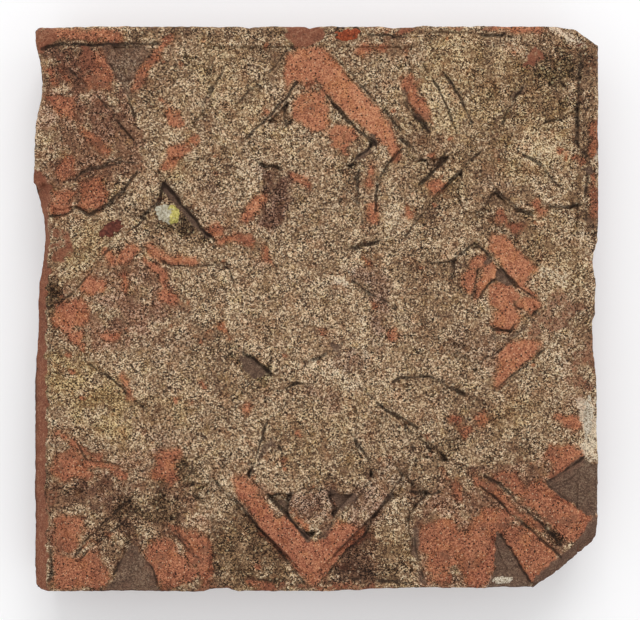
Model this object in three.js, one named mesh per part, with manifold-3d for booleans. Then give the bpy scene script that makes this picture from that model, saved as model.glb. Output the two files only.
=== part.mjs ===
// Encaustic tile: a square handmade floor tile of red clay, face up, resting flat on its back.
// The face carries a stamped Gothic pattern with fourfold turning: a pointed frame with a trefoil
// on each side, linked round a ring with a rosette, and a five-lobed leaf on a stem in each corner.
// Each figure is a clay of its own, pressed into a pocket of the body and standing proud of it.
// Millimetres, +Z up, +Y to the top of the pattern. The origin is at the middle of the back.
import * as THREE from "three";
import { mergeVertices } from "three/addons/utils/BufferGeometryUtils.js";
import Module from "manifold-3d";

// Body
const SIDE = 152;
const GROUND_HEIGHT = 21; // back of the tile to the ground of the pattern
const SEAT_DEPTH = 1.8; // depth of the pockets that hold the figures
const CLEARANCE = 0.3; // joint round each figure
const CORNER_LOSS = 17; // length of side broken away at the south-east corner
const CORNER_LOSS_DEPTH = 15; // the same along the east side
const CHIP_LENGTH = 11.5; // chip at the north-east corner
const CHIP_DEPTH = 5.4;
const CORNER_BREAK = [
  [0, 1.07],
  [0.09, 0.91],
  [0.6, 0.42],
  [1, 0.07],
  [1.04, 0],
]; // parts of the length and depth lost
const CHIP_BREAK = [
  [1, 0],
  [0.5, 0.93],
  [0, 1],
];

// Relief over the ground
const RELIEF = 2.2;
const RING_RELIEF = 2.5;
const EDGE_SLOPE = 0.5; // worn slope along the top edges
const PATTERN_SHIFT = -1.5; // the stamp was set a little to the west

// Rim
const RIM_WIDTH = 5.3;
const RIM_WEAR = 0.9; // how much lower the south and west rims are worn
const WEST_BEVEL = 3.8; // width of the bevel along the west side
const WEST_BEVEL_DROP = 3;

// Pointed frames: one on each side, with two strands running inwards
const FRAME_TUCK = 1.3; // how far the outer point runs under the rim
const FRAME_ARM_WIDTH = 7.4;
const FRAME_HALF_SPREAD = 24.6; // side to side, from the axis to the outer corner
const STRAND_WIDTH = 4.9;
const STRAND_PLACE = 15; // middle of a strand from the axis
const STRAND_FOOT = 26; // end of a strand from the centre of the pattern

// Ring and the knots between the strands
const RING_RADIUS = 19.9;
const RING_WIDTH = 5;
const RING_SEGMENTS = 48;
const ARCH_RADIUS = 38.3; // hollow sides of the linkwork, touching the ring
const KNOT_EYE = 18.5; // corner of the eye between ring and knot, along both axes
const KNOT_EYE_SPREAD = 28; // degrees from the axis to the start of the eye
const KNOT_EYE_BOW = 0.4; // how far the sides of the eye are bowed outwards
const KNOT_LEG_START = 14; // degrees from the axis to the thin end of a leg
const KNOT_SLOPE = 0.25;

// Rosette inside the ring
const ROSETTE_RADIUS = 13.2;
const ROSETTE_PETALS = 8;
const ROSETTE_SCALLOP = 1.5;
const BOSS_RADIUS = 4.6;
const BOSS_SEGMENTS = 24;
const BOSS_RELIEF = 2.9;
const BOSS_DOME = [
  [1, 0.35],
  [0.86, 0.72],
  [0.5, 0.93],
  [0, 1],
]; // parts of its radius and relief

// Trefoils inside the frames
const TOP_LOBE_RADIUS = 5.9;
const TOP_LOBE_DROP = 7.7; // inner point of the frame to the middle of the top lobe
const SIDE_LOBE_RADIUS = 5.5;
const SIDE_LOBE_PLACE = 10.5;
const SIDE_LOBE_DROP = 17.2;
const TOP_LOBE_START = -42; // degrees from the +X axis
const SIDE_LOBE_START = -100;
const SIDE_LOBE_END = 120;
const TREFOIL_WAIST = 8; // half width under the side lobes
const TREFOIL_BASE = 7.5; // half width at the ring

// Leaves in the corners, drawn along the diagonal
const LEAF_INSET = 40.5; // leaf base to the corner of the field
const LEAF_LENGTH = 41;
const LEAF_HALF_SPREAD = 31;
const VEIN_WIDTH = 0.9;
const VEIN_DEPTH = 0.9;
const VEIN_SPACING = 2.7; // between the two grooves of a midrib

// Stems from the leaves to the knots
const STEM_WIDTH = 4.6;
const STEM_FOOT_WIDTH = 7.8;
const STEM_FOOT = 32.3; // from the centre of the pattern along the diagonal
const STEM_TUCK = 1; // how far the stem ends short of the leaf base mark

const ROOT2 = Math.SQRT2;
const BEYOND = 10; // how far a cutting solid reaches past what it cuts
const fieldHalf = SIDE / 2 - RIM_WIDTH;
const seatHeight = GROUND_HEIGHT - SEAT_DEPTH;
const figureTop = GROUND_HEIGHT + RELIEF;
const wornRimTop = figureTop - RIM_WEAR;
const above = figureTop + BEYOND;
const frameReach = fieldHalf + FRAME_TUCK;
const frameInnerReach = frameReach - FRAME_ARM_WIDTH * ROOT2;
const frameInnerSpread = FRAME_HALF_SPREAD - FRAME_ARM_WIDTH;
const strandOuter = STRAND_PLACE + STRAND_WIDTH / 2;
const strandInner = STRAND_PLACE - STRAND_WIDTH / 2;
const archCentre = RING_RADIUS + ARCH_RADIUS;
const leafPlace = fieldHalf * ROOT2 - LEAF_INSET;
const rimMiddle = SIDE / 2 - RIM_WIDTH / 2;

// Inclusions and residues: pebbles half sunk in the clay, and lime and mortar lying on it
const crumbs = {
  pebble_brown: { length: 6, width: 3.2, height: 1.2, turn: 40 },
  pebble_red: { length: 6, width: 2.8, height: 0.5, turn: 8 },
  lime_fleck: { length: 6, width: 4.4, height: 0.8, turn: -20 },
  mortar_east: { length: 13, width: 3.2, height: 0.6, turn: 90 },
  mortar_south: { length: 3.4, width: 2, height: 0.5, turn: 10 },
};
const PEBBLE_SINK = 0.9;
const BROWN_OFF_ARM = 2.1; // brown pebble to the outer edge of the west frame's arm
const BROWN_ALONG_ARM = 6.5; // and to that frame's outer corner
const FLECK_ACROSS = 2.7; // lime fleck to halfway between strand and small lobe of the leaf
const FLECK_UNDER_LOBE = 2.2;
const RED_PLACE = 8.6; // red pebble along the north rim
const MORTAR_PLACE = -29; // mortar along the east rim
const MORTAR_OFF_BREAK = 9; // mortar on the south rim to the broken corner

const SIDES = ["north", "east", "south", "west"];
const CORNERS = ["ne", "se", "sw", "nw"];

const clay = {
  body: { color: 0x8a5a40, roughness: 0.95, metalness: 0 },
  rim: { color: 0x9a5a3e, roughness: 0.93, metalness: 0 },
  frame: { color: 0xb05c3e, roughness: 0.93, metalness: 0 },
  crust: { color: 0x8c765c, roughness: 0.97, metalness: 0 },
  leaf: { color: 0x9a6448, roughness: 0.95, metalness: 0 },
  trefoil: { color: 0xa5694a, roughness: 0.95, metalness: 0 },
  brownStone: { color: 0x5a2f22, roughness: 0.8, metalness: 0 },
  redStone: { color: 0xb8452c, roughness: 0.85, metalness: 0 },
  lime: { color: 0xd8cfb4, roughness: 0.98, metalness: 0 },
  mortar: { color: 0xc9bfae, roughness: 0.98, metalness: 0 },
};

const wasm = await Module();
wasm.setup();

// Geometry helpers

function solidOf(geometry) {
  const plain = geometry.clone();
  plain.deleteAttribute("normal");
  plain.deleteAttribute("uv");
  const merged = mergeVertices(plain, 1e-4);
  return new wasm.Manifold(
    new wasm.Mesh({
      numProp: 3,
      vertProperties: new Float32Array(merged.attributes.position.array),
      triVerts: new Uint32Array(merged.index.array),
    }),
  );
}

function geometryOf(solid) {
  const mesh = solid.getMesh();
  const positions = new Float32Array(mesh.numVert * 3);
  for (let i = 0; i < mesh.numVert; i++) {
    positions.set(mesh.vertProperties.subarray(i * mesh.numProp, i * mesh.numProp + 3), i * 3);
  }
  const indexed = new THREE.BufferGeometry();
  indexed.setAttribute("position", new THREE.BufferAttribute(positions, 3));
  indexed.setIndex(new THREE.BufferAttribute(new Uint32Array(mesh.triVerts), 1));
  const faceted = indexed.toNonIndexed();
  faceted.computeVertexNormals();
  return faceted;
}

function point(x, y) {
  return new THREE.Vector2(x, y);
}

// An outline counter-clockwise and without doubled points.
function outlineOf(points) {
  const kept = points.filter((p, i) => p.distanceTo(points[(i + 1) % points.length]) > 0.02);
  return THREE.ShapeUtils.area(kept) < 0 ? kept.reverse() : kept;
}

// Moves each side of an outline outwards by a distance, or inwards where it is negative.
function offset(outline, distance) {
  return outline.map((corner, i) => {
    const before = outline[(i + outline.length - 1) % outline.length];
    const after = outline[(i + 1) % outline.length];
    const normalIn = point(corner.y - before.y, before.x - corner.x).normalize();
    const normalOut = point(after.y - corner.y, corner.x - after.x).normalize();
    const mitre = normalIn.clone().add(normalOut).normalize();
    const reach = distance / Math.max(mitre.dot(normalIn), 0.5);
    return corner.clone().addScaledVector(mitre, reach);
  });
}

// An upright solid over an outline, with a slope round its top edge.
function prism(outline, low, high, slope = 0) {
  const levels = [[outline, low]];
  if (slope > 0) {
    levels.push([outline, high - slope]);
    levels.push([offset(outline, -slope), high]);
  } else {
    levels.push([outline, high]);
  }
  const count = outline.length;
  const positions = levels.flatMap(([ring, z]) => ring.flatMap((p) => [p.x, p.y, z]));
  const faces = [];
  for (let level = 0; level + 1 < levels.length; level++) {
    for (let i = 0; i < count; i++) {
      const a = level * count + i;
      const b = level * count + ((i + 1) % count);
      faces.push(a, b, b + count, a, b + count, a + count);
    }
  }
  const top = (levels.length - 1) * count;
  for (const [a, b, c] of THREE.ShapeUtils.triangulateShape(outline, [])) {
    faces.push(c, b, a);
    faces.push(top + a, top + b, top + c);
  }
  const geometry = new THREE.BufferGeometry();
  geometry.setAttribute("position", new THREE.Float32BufferAttribute(positions, 3));
  geometry.setIndex(faces);
  return solidOf(geometry);
}

function spline(points, divisions) {
  return new THREE.SplineCurve(points).getPoints(divisions);
}

// Points of an arc, with angles in degrees from the +X axis.
function arc(centreX, centreY, radius, from, to, steps) {
  return Array.from({ length: steps + 1 }, (_, i) => {
    const angle = THREE.MathUtils.degToRad(from + ((to - from) * i) / steps);
    return point(centreX + radius * Math.cos(angle), centreY + radius * Math.sin(angle));
  });
}

function mirrored(points) {
  return points.map((p) => point(-p.x, p.y)).reverse();
}

// A north or north-east outline turned clockwise by quarter turns and moved with the stamp.
function stamped(points, quarters) {
  let turned = points;
  for (let i = 0; i < quarters; i++) {
    turned = turned.map((p) => point(p.y, -p.x));
  }
  return turned.map((p) => point(p.x + PATTERN_SHIFT, p.y));
}

// A point given along the north-east diagonal and off it.
function diagonal(along, off) {
  return point((along + off) / ROOT2, (along - off) / ROOT2);
}

// The closed outline of a strip of one width along a line of points.
function strip(line, width) {
  const left = [];
  const right = [];
  line.forEach((p, i) => {
    const ahead = line[Math.min(i + 1, line.length - 1)];
    const behind = line[Math.max(i - 1, 0)];
    const side = point(behind.y - ahead.y, ahead.x - behind.x).normalize();
    left.push(p.clone().addScaledVector(side, width / 2));
    right.push(p.clone().addScaledVector(side, -width / 2));
  });
  return outlineOf([...left, ...right.reverse()]);
}

// Outlines of the figures, for the north side or the north-east corner

function frameOutline() {
  const cornerY = frameReach - FRAME_HALF_SPREAD;
  const innerCornerY = frameInnerReach - frameInnerSpread;
  const outerShoulder = [
    [1, 1],
    [0.94, 0.87],
    [0.44, 0.6],
    [0.05, 0.3],
    [0, 0],
  ].map(([out, up]) =>
    point(
      THREE.MathUtils.lerp(strandOuter, FRAME_HALF_SPREAD, out),
      THREE.MathUtils.lerp(STRAND_FOOT, cornerY, up),
    ),
  );
  const innerShoulder = [
    [0, 0],
    [0, 0.3],
    [0.05, 0.63],
    [0.5, 0.83],
    [1, 1],
  ].map(([out, up]) =>
    point(
      THREE.MathUtils.lerp(strandInner, frameInnerSpread, out),
      THREE.MathUtils.lerp(STRAND_FOOT, innerCornerY, up),
    ),
  );
  const half = [...spline(outerShoulder, 8), ...spline(innerShoulder, 8)];
  return outlineOf([
    point(0, frameReach),
    ...half,
    point(0, frameInnerReach),
    ...mirrored(half),
  ]);
}

// Height of the hollow side of the linkwork at a distance from the axis.
function archHeight(x, radius = ARCH_RADIUS) {
  return archCentre - Math.sqrt(radius * radius - x * x);
}

function knotOutline() {
  const gapRadius = RING_RADIUS + CLEARANCE;
  const legStart = arc(0, 0, gapRadius, 90 - KNOT_LEG_START, 90 - KNOT_EYE_SPREAD, 4);
  const startX = legStart[0].x;
  const side = [0, 0.3, 0.6, 1].map((part) => {
    const x = THREE.MathUtils.lerp(strandInner, startX, part);
    return point(x, archHeight(x));
  });
  const foot = STRAND_FOOT - CLEARANCE;
  const stemCorner = diagonal(STEM_FOOT, -STEM_FOOT_WIDTH / 2);
  const legEnd = legStart.at(-1);
  const eyeSide = legEnd.clone().lerp(point(KNOT_EYE, KNOT_EYE), 0.5);
  const half = [
    stemCorner,
    point(strandOuter, foot),
    point(strandInner, foot),
    ...side,
    ...legStart,
    point(eyeSide.x, eyeSide.y - KNOT_EYE_BOW),
  ];
  const other = half.map((p) => point(p.y, p.x)).reverse();
  return outlineOf([...half, point(KNOT_EYE, KNOT_EYE), ...other]);
}

function stemOutline() {
  const start = STEM_FOOT + CLEARANCE;
  const end = leafPlace - STEM_TUCK;
  const side = [
    [0, 1],
    [0.25, 0.45],
    [0.55, 0.06],
    [1, 0],
  ].map(([part, flare]) =>
    diagonal(
      THREE.MathUtils.lerp(start, end, part),
      THREE.MathUtils.lerp(STEM_WIDTH / 2, STEM_FOOT_WIDTH / 2, flare),
    ),
  );
  const right = spline(side, 6);
  const left = right.map((p) => point(p.y, p.x)).reverse();
  return outlineOf([...right, ...left]);
}

function trefoilOutline() {
  const topY = frameInnerReach - TOP_LOBE_DROP;
  const sideY = frameInnerReach - SIDE_LOBE_DROP;
  const base = [0, 0.5, 1].map((part) => {
    const x = part * TREFOIL_BASE;
    return point(x, archHeight(x, ARCH_RADIUS - CLEARANCE));
  });
  const half = [
    ...base,
    point(TREFOIL_WAIST, sideY - SIDE_LOBE_RADIUS - 1),
    ...arc(SIDE_LOBE_PLACE, sideY, SIDE_LOBE_RADIUS, SIDE_LOBE_START, SIDE_LOBE_END, 9),
    ...arc(0, topY, TOP_LOBE_RADIUS, TOP_LOBE_START, 90, 6),
  ];
  return outlineOf([...half, ...mirrored(half)]);
}

// Half of the leaf from its base to its point: along the diagonal and off it, for a leaf 41 long
// and 31 wide on each side. It has a small basal lobe, a broad side lobe and half the top lobe.
const SMALL_LOBE_TIP = [-10.8, 8.6];
const LEAF_SHAPE = [
  [-3, 0],
  [-4.2, 2.9],
  [-8, 5.4],
  SMALL_LOBE_TIP,
  [-10.6, 12],
  [-7.5, 13.6],
  [-3.8, 12.4],
  [-1.8, 12.9],
  [-2, 16.5],
  [-0.8, 21],
  [2, 23.6],
  [4.6, 24.6],
  [7, 28.4],
  [11, 30.5],
  [15, 31],
  [19, 28.5],
  [22.4, 23.5],
  [21.8, 16.8],
  [19.8, 11.6],
  [17.2, 8.2],
  [20.4, 9],
  [25, 11],
  [31, 12.8],
  [36, 11.2],
  [39.4, 6.4],
  [41, 0],
];
const LEAF_SHAPE_SIZE = { along: 41, off: 31 };

function onLeaf([along, off], side = 1) {
  return diagonal(
    leafPlace + (along * LEAF_LENGTH) / LEAF_SHAPE_SIZE.along,
    (side * off * LEAF_HALF_SPREAD) / LEAF_SHAPE_SIZE.off,
  );
}

function leafOutline() {
  const right = spline(
    LEAF_SHAPE.map((p) => onLeaf(p)),
    40,
  );
  const left = right.map((p) => point(p.y, p.x)).reverse();
  return outlineOf([...right, ...left]);
}

// Middle lines of the veins, drawn in the same way: in the top lobe and in a side lobe.
const TOP_VEIN = [
  [3, 0],
  [34, 0],
];
const SIDE_VEIN = [
  [2.5, 4],
  [6.3, 8.6],
  [8.6, 17],
  [10.3, 26],
];

// Two grooves along the midrib of each of the three great lobes.
function veinOutlines() {
  const half = VEIN_SPACING / 2;
  const lines = [];
  for (const side of [-1, 1]) {
    lines.push(TOP_VEIN.map(([along, off]) => onLeaf([along, off + half], side)));
    for (const shift of [-half, half]) {
      const shifted = SIDE_VEIN.map(([along, off]) => onLeaf([along + shift, off], side));
      lines.push(spline(shifted, 6));
    }
  }
  return lines.map((line) => strip(line, VEIN_WIDTH));
}

function rosetteOutline(grow = 0) {
  const steps = ROSETTE_PETALS * 6;
  return Array.from({ length: steps }, (_, i) => {
    const angle = (2 * Math.PI * i) / steps;
    const scallop = 1 - Math.abs(Math.cos((ROSETTE_PETALS * angle) / 2));
    const radius = ROSETTE_RADIUS - ROSETTE_SCALLOP * scallop ** 2 + grow;
    return point(PATTERN_SHIFT + radius * Math.cos(angle), radius * Math.sin(angle));
  });
}

// A plank along one side with mitred ends, seen from above.
function rimOutline(quarters) {
  const mitre = CLEARANCE / ROOT2;
  let corners = [
    point(-SIDE / 2 + mitre, SIDE / 2),
    point(-fieldHalf + mitre, fieldHalf),
    point(fieldHalf - mitre, fieldHalf),
    point(SIDE / 2 - mitre, SIDE / 2),
  ];
  for (let i = 0; i < quarters; i++) {
    corners = corners.map((p) => point(p.y, -p.x));
  }
  return outlineOf(corners);
}

// Turned solids

// A profile of radius and height pairs, turned round the centre of the pattern.
function turnedSolid(profile, segments) {
  const geometry = new THREE.LatheGeometry(
    profile.map(([radius, z]) => point(radius, z)),
    segments,
  );
  geometry.rotateX(Math.PI / 2);
  geometry.translate(PATTERN_SHIFT, 0, 0);
  return solidOf(geometry);
}

function ringProfile(grow, top, slope) {
  const outer = RING_RADIUS + grow;
  const inner = RING_RADIUS - RING_WIDTH - grow;
  return [
    [inner, seatHeight],
    [outer, seatHeight],
    [outer, top - slope],
    [outer - slope, top],
    [inner + slope, top],
    [inner, top - slope],
    [inner, seatHeight],
  ];
}

// A low dome on an upright side.
function bossProfile() {
  const dome = BOSS_DOME.map(([out, up]) => [
    BOSS_RADIUS * out,
    GROUND_HEIGHT + BOSS_RELIEF * up,
  ]);
  return [[0, seatHeight], [BOSS_RADIUS, seatHeight], ...dome];
}

// Lens-shaped crumbs

// A flattened pebble whose underside is cut off level at a depth below its widest line.
function lens(name, depth, grow = 0) {
  const size = crumbs[name];
  const [place, height] = crumbPlaces()[name];
  const round = new THREE.SphereGeometry(1, 12, 8);
  round.rotateX(Math.PI / 2);
  round.scale(size.length / 2 + grow, size.width / 2 + grow, size.height + grow);
  const reach = size.length + BEYOND;
  const low = -depth - grow;
  const high = size.height + BEYOND;
  const kept = new THREE.BoxGeometry(reach, reach, high - low);
  kept.translate(0, 0, (low + high) / 2);
  const placed = geometryOf(solidOf(round).intersect(solidOf(kept)));
  placed.rotateZ(THREE.MathUtils.degToRad(size.turn));
  placed.translate(place.x, place.y, height);
  return solidOf(placed);
}

// Place of each crumb and height of the surface under it.
function crumbPlaces() {
  const frameCorner = point(FRAME_HALF_SPREAD, frameReach - FRAME_HALF_SPREAD);
  const besideArm = point(
    frameCorner.x + (BROWN_OFF_ARM - BROWN_ALONG_ARM) / ROOT2,
    frameCorner.y + (BROWN_OFF_ARM + BROWN_ALONG_ARM) / ROOT2,
  );
  const lobeTip = onLeaf(SMALL_LOBE_TIP, -1);
  const halfway = (strandOuter + lobeTip.x) / 2;
  const underLobe = point(halfway + FLECK_ACROSS, lobeTip.y - FLECK_UNDER_LOBE);
  const [west, northWest] = stamped([besideArm, underLobe], 3);
  const breakStart = SIDE / 2 - CORNER_LOSS;
  return {
    pebble_brown: [west, GROUND_HEIGHT],
    pebble_red: [point(RED_PLACE, rimMiddle), figureTop],
    lime_fleck: [northWest, GROUND_HEIGHT],
    mortar_east: [point(rimMiddle, MORTAR_PLACE), figureTop],
    mortar_south: [point(breakStart - MORTAR_OFF_BREAK, -rimMiddle), wornRimTop],
  };
}

// Breaks that take the corners off the body, the rims and the leaves

function breakage() {
  const half = SIDE / 2;
  const out = half + BEYOND;
  const breakLine = CORNER_BREAK.map(([part, deep]) =>
    point(half - CORNER_LOSS * part, CORNER_LOSS_DEPTH * deep - half),
  );
  const chipLine = CHIP_BREAK.map(([part, deep]) =>
    point(half - CHIP_LENGTH * part, half - CHIP_DEPTH * deep),
  );
  const southEast = [
    ...breakLine,
    point(breakLine.at(-1).x, -out),
    point(out, -out),
    point(out, breakLine[0].y),
  ];
  const northEast = [
    ...chipLine,
    point(out, chipLine.at(-1).y),
    point(out, out),
    point(chipLine[0].x, out),
  ];
  const [large, small] = [southEast, northEast].map((line) => prism(outlineOf(line), -1, above));
  return large.add(small);
}

function westBevel() {
  const half = SIDE / 2;
  const section = new THREE.Shape([
    point(-half - 1, wornRimTop - WEST_BEVEL_DROP),
    point(-half, wornRimTop - WEST_BEVEL_DROP),
    point(-half + WEST_BEVEL, wornRimTop),
    point(-half + WEST_BEVEL, wornRimTop + 1),
    point(-half - 1, wornRimTop + 1),
  ]);
  const geometry = new THREE.ExtrudeGeometry(section, { depth: SIDE, bevelEnabled: false });
  geometry.rotateX(Math.PI / 2);
  geometry.translate(0, half, 0);
  return solidOf(geometry);
}

// Figures

const solids = new Map();
const pockets = [];
const missing = breakage();

const rimOutlines = SIDES.map((_, quarters) => rimOutline(quarters));
const rimPockets = rimOutlines.map((line) => prism(offset(line, CLEARANCE), seatHeight, above));
const rimSeat = rimPockets.reduce((all, pocket) => all.add(pocket));
SIDES.forEach((side, quarters) => {
  const worn = side === "south" || side === "west";
  const top = worn ? wornRimTop : figureTop;
  let rim = prism(rimOutlines[quarters], seatHeight, top, EDGE_SLOPE).subtract(missing);
  if (side === "west") {
    rim = rim.subtract(westBevel());
  }
  solids.set(`rim_${side}`, [rim, clay.rim]);
});
pockets.push(rimSeat);

const frameLine = frameOutline();
const framePockets = SIDES.map((_, quarters) =>
  prism(offset(outlineOf(stamped(frameLine, quarters)), CLEARANCE), seatHeight, above),
);
const frameSeat = framePockets.reduce((all, pocket) => all.add(pocket));
SIDES.forEach((side, quarters) => {
  const line = outlineOf(stamped(frameLine, quarters));
  const frame = prism(line, seatHeight, figureTop, EDGE_SLOPE).subtract(rimSeat);
  solids.set(`frame_${side}`, [frame, clay.frame]);
});
pockets.push(frameSeat);

const knotLine = knotOutline();
CORNERS.forEach((corner, quarters) => {
  const line = outlineOf(stamped(knotLine, quarters));
  solids.set(`knot_${corner}`, [prism(line, seatHeight, figureTop, KNOT_SLOPE), clay.crust]);
  pockets.push(prism(offset(line, CLEARANCE), seatHeight, above));
});

const stemLine = stemOutline();
const stemPockets = CORNERS.map((_, quarters) =>
  prism(offset(outlineOf(stamped(stemLine, quarters)), CLEARANCE), seatHeight, above),
);
CORNERS.forEach((corner, quarters) => {
  const line = outlineOf(stamped(stemLine, quarters));
  solids.set(`stem_${corner}`, [prism(line, seatHeight, figureTop, EDGE_SLOPE), clay.crust]);
  pockets.push(stemPockets[quarters]);
});

const field = solidOf(new THREE.BoxGeometry(2 * fieldHalf, 2 * fieldHalf, 2 * above));
const leafLine = leafOutline();
const veinLines = veinOutlines();
const leafPockets = CORNERS.map((_, quarters) =>
  prism(offset(outlineOf(stamped(leafLine, quarters)), CLEARANCE), seatHeight, above),
);
CORNERS.forEach((corner, quarters) => {
  const line = outlineOf(stamped(leafLine, quarters));
  let leaf = prism(line, seatHeight, figureTop, EDGE_SLOPE);
  for (const vein of veinLines) {
    const groove = outlineOf(stamped(vein, quarters));
    leaf = leaf.subtract(prism(groove, figureTop - VEIN_DEPTH, above));
  }
  leaf = leaf.intersect(field).subtract(rimSeat).subtract(frameSeat);
  leaf = leaf.subtract(stemPockets[quarters]);
  solids.set(`leaf_${corner}`, [leaf.subtract(missing), clay.leaf]);
  pockets.push(leafPockets[quarters]);
});

const trefoilLine = trefoilOutline();
SIDES.forEach((side, quarters) => {
  const line = outlineOf(stamped(trefoilLine, quarters));
  const trefoil = prism(line, seatHeight, figureTop, EDGE_SLOPE).subtract(frameSeat);
  solids.set(`trefoil_${side}`, [trefoil, clay.trefoil]);
  pockets.push(prism(offset(line, CLEARANCE), seatHeight, above));
});

const ringTop = GROUND_HEIGHT + RING_RELIEF;
solids.set("centre_ring", [turnedSolid(ringProfile(0, ringTop, EDGE_SLOPE), RING_SEGMENTS), clay.crust]);
pockets.push(turnedSolid(ringProfile(CLEARANCE, above, 0.1), RING_SEGMENTS));

const bossPocket = turnedSolid(
  [
    [0, seatHeight],
    [BOSS_RADIUS + CLEARANCE, seatHeight],
    [BOSS_RADIUS + CLEARANCE, above],
    [0, above],
  ],
  BOSS_SEGMENTS,
);
const rosette = prism(rosetteOutline(), seatHeight, figureTop, EDGE_SLOPE);
solids.set("rosette", [rosette.subtract(bossPocket), clay.crust]);
solids.set("rosette_boss", [turnedSolid(bossProfile(), BOSS_SEGMENTS), clay.crust]);
pockets.push(prism(rosetteOutline(CLEARANCE), seatHeight, above));

const block = new THREE.BoxGeometry(SIDE, SIDE, GROUND_HEIGHT);
block.translate(0, 0, GROUND_HEIGHT / 2);
let body = solidOf(block).subtract(missing);
for (const pocket of pockets) {
  body = body.subtract(pocket);
}
solids.set("tile_body", [body, clay.body]);

// Each pebble presses a socket into whatever is round it.
for (const [name, look] of [
  ["pebble_brown", clay.brownStone],
  ["pebble_red", clay.redStone],
]) {
  const socket = lens(name, PEBBLE_SINK, CLEARANCE);
  for (const [other, [solid, otherLook]] of solids) {
    solids.set(other, [solid.subtract(socket), otherLook]);
  }
  solids.set(name, [lens(name, PEBBLE_SINK), look]);
}

// The lime fleck lies against the figures round it.
const fleck = lens("lime_fleck", 0).subtract(frameSeat).subtract(leafPockets[3]);
solids.set("lime_fleck", [fleck, clay.lime]);
solids.set("mortar_east", [lens("mortar_east", 0), clay.mortar]);
solids.set("mortar_south", [lens("mortar_south", 0), clay.mortar]);

// Scene

const tile = new THREE.Group();
tile.name = "encaustic_tile";
for (const [name, [solid, look]] of solids) {
  const mesh = new THREE.Mesh(geometryOf(solid), new THREE.MeshStandardMaterial(look));
  mesh.name = name;
  tile.add(mesh);
}

export default tile;
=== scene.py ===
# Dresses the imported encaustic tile: worn clay figures in a crusted, weathered ground.
# Lengths are millimetres in the frame's own axes, and become metres when a mesh is made.
# Only the floor, the lamp and the camera, at the end, are written in metres.
import math

import bpy
import numpy as np
from mathutils.bvhtree import BVHTree
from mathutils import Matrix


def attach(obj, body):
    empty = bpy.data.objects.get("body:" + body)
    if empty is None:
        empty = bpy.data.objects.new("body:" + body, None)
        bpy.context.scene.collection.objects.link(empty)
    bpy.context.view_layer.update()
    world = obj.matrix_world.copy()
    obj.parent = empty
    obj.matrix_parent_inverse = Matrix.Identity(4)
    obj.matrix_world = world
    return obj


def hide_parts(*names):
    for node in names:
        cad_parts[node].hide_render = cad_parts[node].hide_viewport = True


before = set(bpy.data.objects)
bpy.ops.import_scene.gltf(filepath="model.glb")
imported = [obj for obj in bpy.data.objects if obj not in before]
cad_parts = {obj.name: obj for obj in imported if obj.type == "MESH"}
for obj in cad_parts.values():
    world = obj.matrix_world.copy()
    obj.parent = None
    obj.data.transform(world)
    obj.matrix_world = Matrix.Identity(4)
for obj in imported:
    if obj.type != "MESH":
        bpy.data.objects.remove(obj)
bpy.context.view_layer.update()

MM = 0.001
HALF = 76.0  # half the side of the tile
SEAT = 19.2  # floor of the pockets in the body
GROUND = 21.0  # top of the body between the figures
FIGURE_TOP = 23.2
HIGHEST = 23.85  # no worn piece stands higher, so that all stay inside the CAD's box

# Rasters: every field over the face is sampled on this grid
STEP = 0.25
REACH = 78.0
COUNT = int(2 * REACH / STEP) + 1
AXIS = np.linspace(-REACH, REACH, COUNT)
GX, GY = np.meshgrid(AXIS, AXIS)
FREQ = np.fft.fftfreq(COUNT, STEP)
FREQ2 = FREQ[:, None] ** 2 + FREQ[None, :] ** 2


def blur(field, size):
    soft = np.fft.fft2(field) * np.exp(-2 * (math.pi * size) ** 2 * FREQ2)
    return np.fft.ifft2(soft).real


def grain(size, seed):
    """Smooth noise with a standard deviation of 1 and grains of about twice the size."""
    noise = blur(np.random.default_rng(seed).standard_normal((COUNT, COUNT)), size)
    return noise / noise.std()


def ragged(size, seed, octaves=4):
    total = sum(grain(size / 2**i, seed + i) / 2**i for i in range(octaves))
    return total / total.std()


def smooth(low, high, field):
    part = np.clip((field - low) / (high - low), 0, 1)
    return part * part * (3 - 2 * part)


def sample(field, x, y):
    """Bilinear value of a raster at points."""
    fx = np.clip((np.asarray(x) + REACH) / STEP, 0, COUNT - 1.001)
    fy = np.clip((np.asarray(y) + REACH) / STEP, 0, COUNT - 1.001)
    ix = fx.astype(int)
    iy = fy.astype(int)
    u = fx - ix
    v = fy - iy
    low = field[iy, ix] * (1 - u) + field[iy, ix + 1] * u
    high = field[iy + 1, ix] * (1 - u) + field[iy + 1, ix + 1] * u
    return low * (1 - v) + high * v


# A little wandering of the drawn shapes, so that no edge is ruled
WANDER_X = 0.30 * ragged(2.2, 11) + 0.14 * grain(0.5, 12)
WANDER_Y = 0.30 * ragged(2.2, 21) + 0.14 * grain(0.5, 22)
EDGE_NOISE = 0.8 * ragged(1.2, 31) + 0.35 * grain(0.35, 35)

# Drawn shapes are a strength, a width and points: a stroke of that width, or with width 0 a filled outline
CORE = 1.2  # distance inside a shape beyond which nothing changes
FADE = 1.7  # how far a strength below 1 draws a shape back
MARGIN = 4.0


def window(points, margin):
    """The part of the raster round some points."""
    xs, ys = zip(*points)

    def cells(low, high):
        first = int(np.clip((low - margin + REACH) / STEP, 0, COUNT - 1))
        return slice(first, int(np.clip((high + margin + REACH) / STEP, 0, COUNT - 1)) + 2)

    return cells(min(ys), max(ys)), cells(min(xs), max(xs))


def to_line(px, py, points):
    """Distance of places from a line through the points."""
    best = np.full(px.shape, 1e3)
    for (ax, ay), (bx, by) in zip(points, points[1:]):
        length2 = (bx - ax) ** 2 + (by - ay) ** 2
        part = np.clip(((px - ax) * (bx - ax) + (py - ay) * (by - ay)) / length2, 0, 1)
        best = np.minimum(best, np.hypot(px - ax - part * (bx - ax), py - ay - part * (by - ay)))
    return best


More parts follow.
